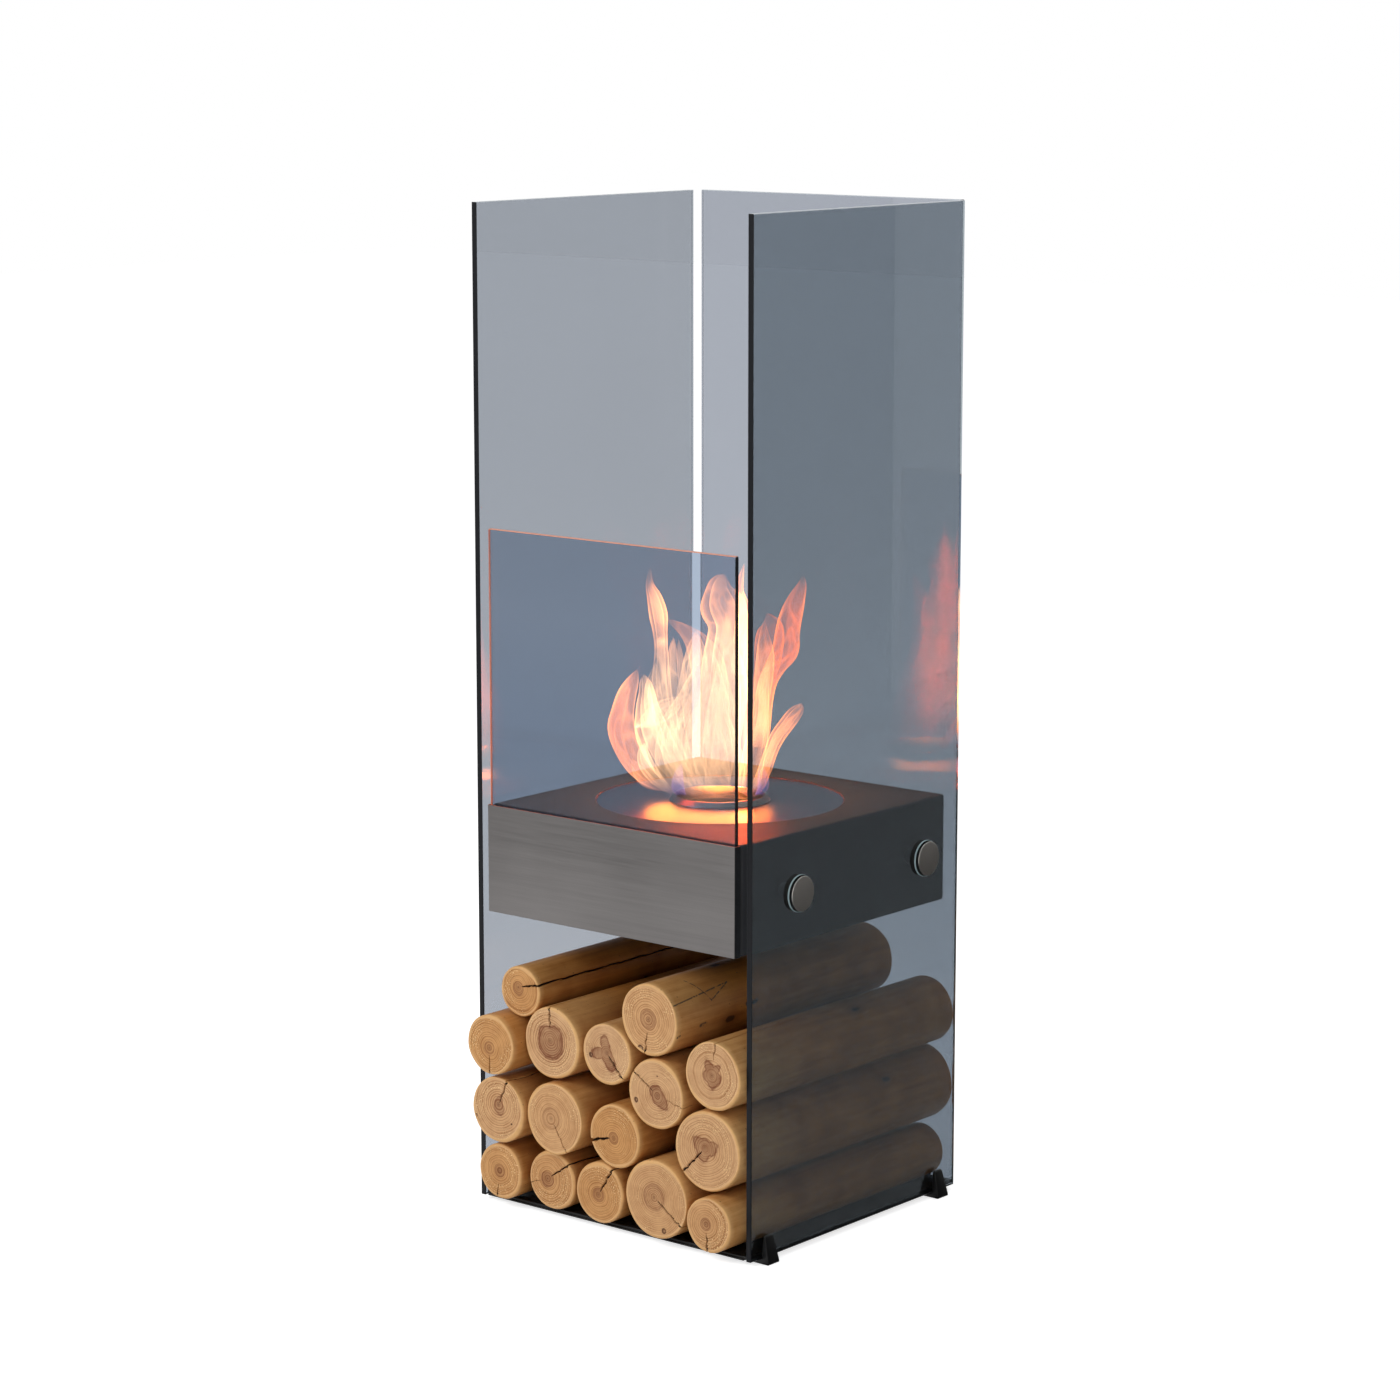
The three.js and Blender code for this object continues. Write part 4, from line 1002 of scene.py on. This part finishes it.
# the heart: a ragged brown patch with a darker outline, or only browner rings
ragged = noise(place, 110, 4, 0.65, seed)
heart_edge = heart - 0.27 + ragged * 0.55
inside = ramp(heart_edge, 0.90, 1.05, 1.0, 0.0)
solid = (ring_heart * -0.72 + 1.0) * ramp(sector, 0.25, 0.75, 0.42, 0.72)
rings_here = ramp(heart, 1.0, 1.25, 1.0, 0.0) * line
fill = inside * (solid + ramp(heart_edge, 0.74, 0.95, 0.0, 0.45)) + rings_here * 0.55
wood = mix((fill * heart_amount).math("MINIMUM", 1.0), wood, linear(122, 72, 44))
wood = mix(ramp(from_pith, 0.0, 0.0045, 0.45, 0.0), wood, linear(98, 56, 34))
wood = mix(ramp(rim, 0.93, 1.0) * 0.6, wood, linear(232, 190, 138))
frayed = knot - 0.6 + ragged * 1.2
knot_ring = ramp(frayed, 0.95, 1.2, 0.9, 0.0) * ramp(frayed, 0.3, 0.7, 0.55, 1.0)
feed(result["Colour"], mix(knot_ring, wood, linear(74, 40, 24)))
feed(result["Height"], speckle * 0.8 + line)

stain_line, given, result = new_group("stain_line", {
    "Place": "Vector", "From": "Vector", "To": "Vector", "Half Width": "Float"}, {"Amount": "Float"})
place, start, stop, half_width = given


from_start = vector_math("SUBTRACT", place, start)
whole = vector_math("SUBTRACT", stop, start)
part_way = (vector_math("DOT_PRODUCT", from_start, whole, output="Value")
            / vector_math("DOT_PRODUCT", whole, whole, output="Value"))
nearest = shaded(whole, part_way.math("MINIMUM", 1.0).math("MAXIMUM", 0.0))
away = vector_math("DISTANCE", from_start, nearest, output="Value")
broken = ramp(noise(place, 130, 3, 0.6), 0.38, 0.52)
feed(result["Amount"], ramp(away / half_width, 0.5, 1.5, 0.85, 0.0) * broken)

side_grain, given, result = new_group("side_grain", {
    "Place": "Vector", "Knot": "Float", "Golden": "Float", "Seed": "Float"},
    {"Colour": "Color", "Height": "Float"})
place, knot, golden, seed = given
along_log = Pattern(node(side_grain, "SeparateXYZ", place), "Y")
long_way = (1, 0.04, 1)
streaks = noise(place, 150, 4, 0.6, seed, long_way)
fine_streaks = noise(place, 1100, 2, 0.5, seed, long_way)
clouds = noise(place, 16, 4, 0.6, seed)
tone = streaks * 0.42 + clouds * 0.55 + fine_streaks * 0.14 + 0.22
# painted shade: the side grows darker and browner further in from the front, where shade falls between the
# logs
deep = ramp(along_log, 0.015, 0.14)
honey = mix(golden, linear(216, 167, 108), linear(207, 149, 84))
amber = mix(golden, linear(172, 115, 62), linear(156, 94, 42))
wood = mix(ramp(tone, 0.56, 1.02), mix(deep, honey, linear(184, 120, 54)),
           mix(deep, amber, linear(136, 76, 28)))
rim_band = ramp(clouds * 0.016 + along_log, 0.007, 0.019, 0.5, 0.0)
wood = mix(rim_band, wood, linear(232, 190, 132))
dots = ramp(noise(place, 230, 1, 0.5, seed), 0.705, 0.74, 0.0, 0.6)
wood = mix(dots, wood, linear(70, 48, 34))
wood = mix(ramp(knot, 0.8, 2.6, 0.55, 0.0), wood, linear(120, 66, 30))
feed(result["Colour"], mix(ramp(knot, 0.55, 0.95, 0.9, 0.0), wood, linear(58, 32, 18)))
feed(result["Height"], fine_streaks + streaks)


def log_radius(cad_name):
    """Half the mean width of a log's box, to turn an angle into a way round the log."""
    low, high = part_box(cad_name)
    return np.subtract(high, low)[[0, 2]].mean() / 2


def log_look(number, end):
    """Peeled softwood. The end grain has growth rings about the pith, a brown heart, resin specks and
    a pale worn rim; the side has soft streaks along the log and a painted shade that grows darker and
    browner further in from the front. Cracks have a painted shade."""
    _, _, brown, ringed, golden, _ = log_marks[number]
    look, tree = new_material(f"log_{number:02d}_" + ("end" if end else "side"))
    place = Pattern(node(tree, "UVMap", uv_map="grain"))
    fields = node(tree, "Attribute", attribute_name="fields").outputs
    crack, rim, heart = map(Pattern, node(tree, "SeparateColor", fields["Color"]).outputs)
    values = {"Place": place, "Knot": fields["Alpha"], "Golden": golden, "Seed": 3.7 * number}
    if end:
        spacing = np.random.default_rng(40 + number).uniform(0.0023, 0.0034)
        values.update(Rim=rim, Heart=heart, Ring_Spacing=spacing, Heart_Amount=brown, Ring_Heart=ringed)
    grain = node(tree, "Group", node_tree=end_grain if end else side_grain, **values).outputs
    wood = grain["Colour"]
    if number == 16 and not end:
        radius = log_radius("log_16")
        for start, stop, half in side_stains:
            start, stop = ((math.radians(turn) * radius, deep / 1000, 0) for turn, deep in (start, stop))
            mark = node(tree, "Group", node_tree=stain_line, Place=place, From=start, To=stop,
                        Half_Width=half / 1000)
            wood = mix(Pattern(mark), wood, linear(36, 52, 50))
    bump = node(tree, "Bump", Height=grain["Height"], Strength=0.5, Distance=0.0004 if end else 0.0002)
    # painted shade in the cracks: they go nearly black
    return surfaced(look, Base_Color=mix(ramp(crack, 0.25, 0.6), wood, linear(38, 20, 10)), Normal=bump,
                    Roughness=0.72 if end else 0.45, Specular_IOR_Level=0.3 if end else 0.2)


def point_values(mesh, name, kind, key, values):
    """Gives each point of a mesh its value of a named attribute."""
    layers = mesh.color_attributes if kind == "FLOAT_COLOR" else mesh.attributes
    layers.new(name, kind, "POINT").data.foreach_set(key, np.ravel(values).astype(np.float32))


def at_corners(grid):
    """The values of a grid at the four corners of each of its quads."""
    return np.stack([grid[:-1, :-1], grid[1:, :-1], grid[1:, 1:], grid[:-1, 1:]], 2)


def log_faces(rows):
    """The quads of a log's grid, then a fan of triangles about the pith at the front and the back."""
    ring = np.arange(log_columns)
    after, last = np.roll(ring, -1), (rows - 1) * log_columns
    front_pole, back_pole = (np.full(log_columns, rows * log_columns + end) for end in (0, 1))
    faces = (grid_faces(rows, log_columns)[:, [0, 3, 2, 1]], np.column_stack([front_pole, ring, after]),
             np.column_stack([back_pole, last + after, last + ring]))
    return [face for part in faces for face in part.tolist()]


def log_texture_places(points, theta, along, side_quad, pith, radius):
    """Where each corner of the faces lies in the grain, in metres: on the sides as (way round the log,
    way along it), on the ends as the place from the pith."""
    full_turn = np.concatenate([theta[0], [theta[0, 0] + 2 * math.pi]])
    on_sides = at_corners(np.stack(np.broadcast_arrays(full_turn[None] * radius, along), -1))
    flat = points[..., [0, 2]] - pith[[0, 2]]
    on_ends = at_corners(np.concatenate([flat, flat[:, :1]], 1))
    quads = np.where(side_quad[..., None, None], on_sides, on_ends)
    zero = np.zeros((log_columns, 2))
    front_fan = np.stack([zero, flat[0], np.roll(flat[0], -1, 0)], 1)
    back_fan = np.stack([zero, np.roll(flat[-1], -1, 0), flat[-1]], 1)
    return np.concatenate([part.reshape(-1, 2) for part in (quads, front_fan, back_fan)])


for number in log_marks:
    cad_name = f"log_{number:02d}"
    low, high = map(np.array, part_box(cad_name))
    points, fields, theta, along, on_side = log_surface(number, low, high)
    pith = (low + high) / 2 + np.array([log_marks[number][0][0], 0, log_marks[number][0][1]]) / 1000
    poles = [(pith[0], low[1], pith[2]), (pith[0], high[1], pith[2])]
    log = mesh_object("round_" + cad_name, np.concatenate([points.reshape(-1, 3), poles]),
                      log_faces(len(points)))
    side_quad = (on_side[:-1] | on_side[1:])[:, None] & np.ones(log_columns, bool)
    share_out(log.data, np.concatenate([side_quad.ravel(), np.zeros(2 * log_columns, bool)]))
    places = log_texture_places(points, theta, along, side_quad, pith, log_radius(cad_name))
    log.data.uv_layers.new(name="grain").data.foreach_set("uv", places.astype(np.float32).ravel())
    all_fields = np.concatenate([fields.reshape(-1, 4), [[0, 0, 0, 9], [0, 0, 0, 9]]])
    point_values(log.data, "fields", "FLOAT_COLOR", "color", all_fields)
    log.data.materials.append(log_look(number, True))
    log.data.materials.append(log_look(number, False))
    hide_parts(cad_name)
    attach(log, cad_name)

# ----------------------------------------------------------------
# Flame: glowing gas that rises from the burner's mouth in tongues and veils and leans a little to the
# front. Each tongue is a thin tube whose two outer folds glow more than its skin, as in a real flame
# where the sheet of gas turns away; hot ones have a second tube inside. It goes with the burner.
flame_base = np.array([*burner_axis, collar_top])
# Each tongue: points of its middle line as (across, toward the front, up, half width) in mm, then how
# hot it is, from 0 (salmon) to 1 and over (cream), or -1 where it is violet, and how dense.
tongues = [
    ([(-26, 6, 4, 13), (-50, 4, 48, 17), (-65, 4, 95, 16), (-70, 6, 140, 12), (-70, 8, 178, 8),
      (-71, 8, 203, 8.5), (-73, 8, 224, 11), (-78, 8, 245, 9.5), (-84, 8, 264, 5), (-83, 8, 285, 0.4)],
     0.80, 1.15),
    ([(0, -10, 6, 24), (-2, -14, 70, 30), (6, -16, 130, 29), (9, -16, 180, 25), (11, -14, 212, 24),
      (5, -12, 238, 28), (2, -12, 257, 18), (4, -12, 268, 11), (8, -12, 276, 1)], 0.85, 1.0),
    ([(24, -4, 150, 8), (28, -4, 205, 9), (29, -4, 236, 7), (25, -4, 254, 4.5), (26, -4, 270, 3.2),
      (30, -4, 289, 0.3)], 0.7, 1.1),
    ([(34, -16, 6, 11), (45, -20, 60, 12), (51, -22, 110, 11), (57, -24, 142, 11), (67, -26, 163, 13),
      (78, -28, 181, 17), (81, -28, 202, 16), (86, -28, 226, 14), (92, -28, 246, 10), (98, -28, 262, 5.5),
      (100, -28, 275, 0.4)], 0.15, 1.05),
    ([(44, 4, 60, 9), (48, 2, 110, 10), (51, 0, 150, 11), (53, -2, 176, 10.5), (52, -2, 196, 7),
      (51, -2, 220, 0.4)], 0.5, 1.0),
    ([(46, -12, 120, 10), (54, -16, 160, 15), (59, -18, 192, 17), (61, -18, 210, 14), (58, -18, 221, 6),
      (54, -18, 227, 0.6)], 0.08, 0.5),
    ([(40, 12, 4, 8), (52, 14, 30, 8), (60, 16, 54, 8), (68, 16, 72, 9), (78, 18, 86, 9.5),
      (87, 18, 98, 9.5), (94, 18, 107, 7), (98, 18, 115, 0.5)], 0.6, 1.1),
    ([(-42, 8, 3, 8), (-74, 8, 14, 12), (-96, 8, 34, 15), (-111, 6, 57, 18), (-119, 4, 82, 18),
      (-117, 4, 104, 14), (-112, 2, 126, 11), (-105, 2, 143, 7), (-99, 0, 157, 0.4)], 0.55, 1.3),
    ([(-34, 16, 4, 13), (-62, 18, 40, 20), (-80, 16, 75, 22), (-87, 14, 105, 15), (-88, 14, 128, 9.5),
      (-90, 12, 142, 6), (-91, 12, 151, 0.4)], 0.85, 1.4),
    ([(-40, 20, 30, 10), (-62, 22, 66, 14), (-76, 22, 100, 13), (-80, 20, 130, 10), (-78, 18, 152, 5),
      (-76, 18, 166, 0.5)], 0.9, 1.2),
    ([(-44, 34, 20, 9), (-56, 36, 50, 13), (-54, 36, 82, 12), (-42, 34, 108, 9), (-30, 32, 124, 0.6)],
     1.1, 1.0),
    ([(-10, 44, 14, 7), (-24, 46, 40, 10), (-34, 46, 66, 9), (-36, 44, 88, 4), (-34, 42, 100, 0.6)],
     1.0, 1.2),
    ([(-102, 30, 84, 1.5), (-87, 32, 92, 9), (-71, 32, 103, 12), (-55, 32, 113, 9), (-38, 30, 124, 0.5)],
     1.3, 1.6),
    ([(-56, 36, 6, 4), (-74, 38, 22, 8), (-88, 38, 40, 9), (-92, 38, 54, 6.5), (-87, 36, 67, 0.5)],
     1.1, 0.9),
    ([(-50, -18, 80, 9), (-54, -20, 130, 8), (-56, -22, 165, 6.5), (-56, -22, 184, 4.5),
      (-55, -22, 197, 0.4)], 0.7, 0.8),
    ([(-38, -24, 90, 8), (-44, -26, 140, 6), (-47, -28, 172, 4.2), (-49, -28, 195, 0.4)], 0.65, 0.8),
    ([(-4, -30, 60, 22), (-8, -32, 120, 22), (-14, -34, 165, 20), (-25, -36, 188, 15), (-39, -38, 203, 9),
      (-53, -38, 213, 4.5), (-65, -38, 220, 0.4)], 0.5, 0.85),
    ([(-26, 24, 40, 16), (-31, 28, 90, 19), (-32, 28, 125, 18), (-29, 26, 158, 16), (-27, 24, 184, 11),
      (-27, 22, 206, 0.5)], 0.95, 1.0),
    ([(6, 40, 24, 18), (8, 44, 60, 16), (4, 44, 90, 11), (0, 42, 112, 7.5), (-1, 40, 130, 0.5)],
     1.1, 0.9),
    ([(34, 16, 10, 12), (43, 18, 60, 12), (49, 16, 100, 9), (50, 14, 130, 8), (54, 12, 152, 5),
      (58, 10, 168, 0.5)], 0.9, 1.0),
    ([(-6, 4, 3, 36), (-22, 6, 40, 52), (-26, 6, 80, 48), (-18, 4, 120, 32), (-12, 2, 160, 14),
      (-10, 0, 184, 0.5)], 1.0, 1.0),
    ([(4, -32, 4, 26), (8, -40, 50, 30), (12, -42, 100, 26), (14, -38, 150, 18), (12, -34, 196, 8),
      (10, -30, 228, 0.5)], 0.8, 0.9),
    ([(-6, 34, 4, 26), (-14, 40, 45, 28), (-18, 42, 80, 22), (-10, 38, 118, 12), (-4, 34, 150, 0.5)],
     1.0, 0.9),
    ([(-4, 30, 3, 14), (2, 52, 50, 18), (6, 62, 100, 15), (2, 58, 150, 9), (0, 54, 196, 0.5)], 0.5, 0.9),
    ([(-26, 26, 4, 4), (-54, 28, 9, 7), (-80, 24, 15, 10), (-97, 18, 30, 8), (-107, 14, 46, 0.6)],
     0.5, 1.0),
    ([(-2, 44, 1, 3), (-24, 50, 8, 5), (-42, 50, 22, 5), (-58, 46, 44, 0.6)], 0.5, 1.6),
    ([(18, 42, 1, 3), (-6, 50, 7, 4), (-24, 50, 19, 4.5), (-38, 46, 40, 0.6)], 0.5, 1.6),
    ([(38, 30, 2, 3), (30, 40, 9, 4), (12, 44, 16, 4), (-6, 42, 34, 0.6)], 0.4, 1.5),
    ([(38, 26, 2, 4), (48, 26, 15, 6), (54, 24, 32, 5), (57, 22, 52, 0.6)], 0.35, 1.1),
    ([(-46, 14, 1, 6), (-50, 16, 12, 8), (-49, 16, 26, 6), (-45, 14, 42, 0.6)], -1, 1.5),
    ([(46, 12, 1, 5), (51, 12, 12, 7), (50, 12, 26, 6), (48, 10, 40, 0.6)], -1, 1.5),
]
flame_rows, flame_columns = 44, 30


def smooth_line(control, steps):
    """Points along a Catmull-Rom curve through the control points, at even parameter steps."""
    c = np.asarray(control, float)
    c = np.concatenate([[2 * c[0] - c[1]], c, [2 * c[-1] - c[-2]]])
    t = np.linspace(0, len(c) - 3, steps)
    i = np.minimum(t.astype(int), len(c) - 4)
    u = (t - i)[:, None]
    p0, p1, p2, p3 = c[i], c[i + 1], c[i + 2], c[i + 3]
    return 0.5 * (2 * p1 + (p2 - p0) * u + (2 * p0 - 5 * p1 + 4 * p2 - p3) * u ** 2
                  + (3 * p1 - p0 - 3 * p2 + p3) * u ** 3)


view_right = np.array([math.cos(camera_azimuth), math.sin(camera_azimuth), 0])
view_near = np.array([math.sin(camera_azimuth), -math.cos(camera_azimuth), 0])
upward = np.array([0, 0, 1.0])
salmon, cream, violet = np.array([(1.0, 0.12, 0.01), (1.0, 0.43, 0.165), (0.08, 0.06, 0.26)])
flame_lean = 0.038
eye_height, eye_distance = 0.965, 4.77


def tongue_rows(control):
    """A tongue's rows: where the middle is, which way the side points, half width, length so far."""
    line = smooth_line(control, flame_rows) / 1000
    line[:, 3] = np.maximum(line[:, 3], 0.0003)
    step = np.linalg.norm(np.diff(line[:, :3], axis=0), axis=1)
    along = np.concatenate([[0], np.cumsum(step)])[:, None]
    way = np.gradient(line[:, [0, 2]], axis=0)
    way /= np.linalg.norm(way, axis=1)[:, None]
    risen = np.clip(line[:, 2:3] / 0.04, 0, 1)
    way = way * risen + np.array([0, 1.0]) * (1 - risen)
    side = (way[:, 1:] * view_right - way[:, :1] * upward)[:, None]
    # the gas leans to the front, and what stands nearer to the viewer is drawn higher
    near = line[:, 1:2] + flame_lean * (1 - np.exp(-line[:, 2:3] / 0.07))
    lift = (eye_height - line[:, 2:3]) * near / eye_distance
    high = line[:, 2:3] + np.clip(line[:, 2:3] / 0.06, 0, 1) * lift
    middle = (flame_base + line[:, :1] * view_right + near * view_near + high * upward)[:, None]
    return middle, side, line[:, 3:], along


def tongue_glow(points, along, index, hot, dense, size):
    """Colour and density of a tongue's skin at its points, and how much its folds glow."""
    height = points[..., 2] - flame_base[2]
    aside = (points - flame_base) @ view_right
    # core is the hot middle, crowd where tongues overlap, warm goes from salmon to cream, and low is
    # the violet at the mouth
    core = np.exp(-((aside + 0.024) / 0.080) ** 4 - ((height - 0.085) / 0.115) ** 4)
    crowd = np.exp(-((aside + 0.022) / 0.066) ** 4 - ((height - 0.08) / 0.11) ** 4)
    warm = np.clip(0.65 * hot - 0.05 + (0.35 * hot + 0.35) * core + 0.15 * (size < 1), 0, 1.1)[..., None]
    low = np.exp(-(height / 0.018) ** 2) * (0.3 + 0.6 * np.exp(-((np.abs(aside) - 0.052) / 0.012) ** 2))
    colour = (1 - warm) * salmon + warm * cream
    colour = colour * (1 - low[..., None]) + violet * low[..., None] if hot >= 0 else violet + 0 * colour
    # a fold glows at both sides of a tongue; the gas thins out toward its tip and at the mouth
    fold = np.abs(np.cos(turn)) ** 10 * (0.7 + 0.3 * np.sin(30 * along + 2 * index))
    lit_side = 1 + 0.35 * np.cos(turn + 2.4 * index)
    thin = np.clip((1 - along / along[-1]) / 0.25, 0, 1) ** 0.6 * (
        0.15 + 0.85 * np.clip(height / 0.075, 0, 1) if hot >= 0 else 1)
    alpha = 0.115 * dense * (1 - 0.77 * crowd) * thin * (0.4 + 0.6 * size)
    glow = (0.38 + 0.12 * core) * alpha * lit_side
    return np.concatenate([colour, glow[..., None]], -1), (1.6 - 0.6 * core) * alpha * fold


flame_points, flame_faces, flame_glow, flame_flow, flame_folds = [], [], [], [], []
turn = np.linspace(0, 2 * math.pi, flame_columns, endpoint=False)[None]
for index, (control, hot, dense) in enumerate(tongues):
    middle, side, half_width, along = tongue_rows(control)
    for size in (1.0, 0.58) if hot >= 0.6 else (1.0,):
        ripple = (1 + 0.05 * np.sin(2 * turn + 40 * along + index)
                  + 0.04 * np.sin(3 * turn - 65 * along + 2 * index))
        radius = half_width * size * ripple
        across, toward = radius * np.cos(turn), radius * 0.8 * np.sin(turn)
        points = middle + across[..., None] * side + toward[..., None] * view_near
        flame_faces.append(grid_faces(flame_rows, flame_columns)
                           + len(flame_faces) * flame_rows * flame_columns)
        flame_points.append(points)
        flame_flow.append(np.stack([across + 0.37 * index, toward, np.broadcast_to(along, across.shape)],
                                   -1))
        glow, fold = tongue_glow(points, along, index, hot, dense, size)
        flame_glow.append(glow)
        flame_folds.append(fold)
flame = mesh_object("flame", np.concatenate(flame_points), np.concatenate(flame_faces))
point_values(flame.data, "glow", "FLOAT_COLOR", "color", np.concatenate(flame_glow))
point_values(flame.data, "flow", "FLOAT_VECTOR", "vector", np.concatenate(flame_flow))
point_values(flame.data, "fold", "FLOAT", "value", np.concatenate(flame_folds))

flame_look, tree = new_material("flame_glow")
glow, flow, fold = (node(tree, "Attribute", attribute_name=name).outputs
                    for name in ("glow", "flow", "fold"))
flow = Pattern(flow["Vector"])
tall = (1, 1, 0.35)
cloud = spread(noise(flow, 26, 1.0, 0.4, None, tall, 0.8), 0.36, 0.64, 0.25, 1.55)
off_line = (noise(flow, 34, 1.0, 0.5, None, tall, 1.0) - 0.5).math("ABSOLUTE")
skin = (ramp(off_line, 0.0, 0.09, 1.0, 0.0) + cloud * 0.8) * glow["Alpha"]
fold = (cloud * 0.5 + 0.5) * fold["Fac"]
# painted reflection: seen in a mirror and not through glass, the flame is made redder: times (2, 0.35, 0.1)
path = node(tree, "LightPath").outputs
in_mirror = Pattern(path["Is Glossy Ray"]) - path["Is Transmission Ray"]
mirrored = vector_math("MULTIPLY_ADD", in_mirror.math("MAXIMUM", 0.0), (1.0, -0.65, -0.9), (1, 1, 1))
peach = mix((fold * 4.0).math("MINIMUM", 0.6), glow["Color"], (1.0, 0.32, 0.08, 1))
surfaced(flame_look, Emission_Color=vector_math("MULTIPLY", peach, mirrored), Alpha=skin + fold,
         Emission_Strength=18.0, Base_Color=(0, 0, 0, 1), Roughness=1.0, Specular_IOR_Level=0.0)
flame_look.cycles.emission_sampling = "NONE"
flame.data.materials.append(flame_look)
flame.visible_shadow = False
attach(flame, "burner")


def flame_light(name, power, colour, height, soft, lit=(), across=0.0):
    """A warm point lamp in the flame that isn't seen itself. lit limits it to the sheen on those."""
    data = bpy.data.lights.new(name, "POINT")
    data.energy = power
    data.color = colour
    data.shadow_soft_size = soft
    lamp = bpy.data.objects.new(name, data)
    lamp.location = flame_base + across * view_right + height * upward
    lamp.visible_camera = False
    lamp.visible_transmission = False
    lamp.visible_glossy = bool(lit)
    lamp.visible_diffuse = not lit
    scene.collection.objects.link(lamp)
    if lit:
        receivers = bpy.data.collections.new(name + "_receivers")
        for obj in lit:
            receivers.objects.link(obj)
        lamp.light_linking.receiver_collection = receivers


flame_light("flame_lamp", 7.0, (1.0, 0.36, 0.12), 0.09, 0.05)
flame_light("plate_sheen", 1.3, (1.0, 0.24, 0.03), 0.020, 0.042, (plate, collar))
flame_light("left_sheen", 0.75, (1.0, 0.20, 0.02), 0.024, 0.030, (plate,), -0.064)
flame_light("right_sheen", 0.25, (1.0, 0.20, 0.02), 0.022, 0.024, (plate,), 0.040)
flame_light("tray_sheen", 7.0, (1.0, 0.10, 0.02), 0.07, 0.08, (tray,))
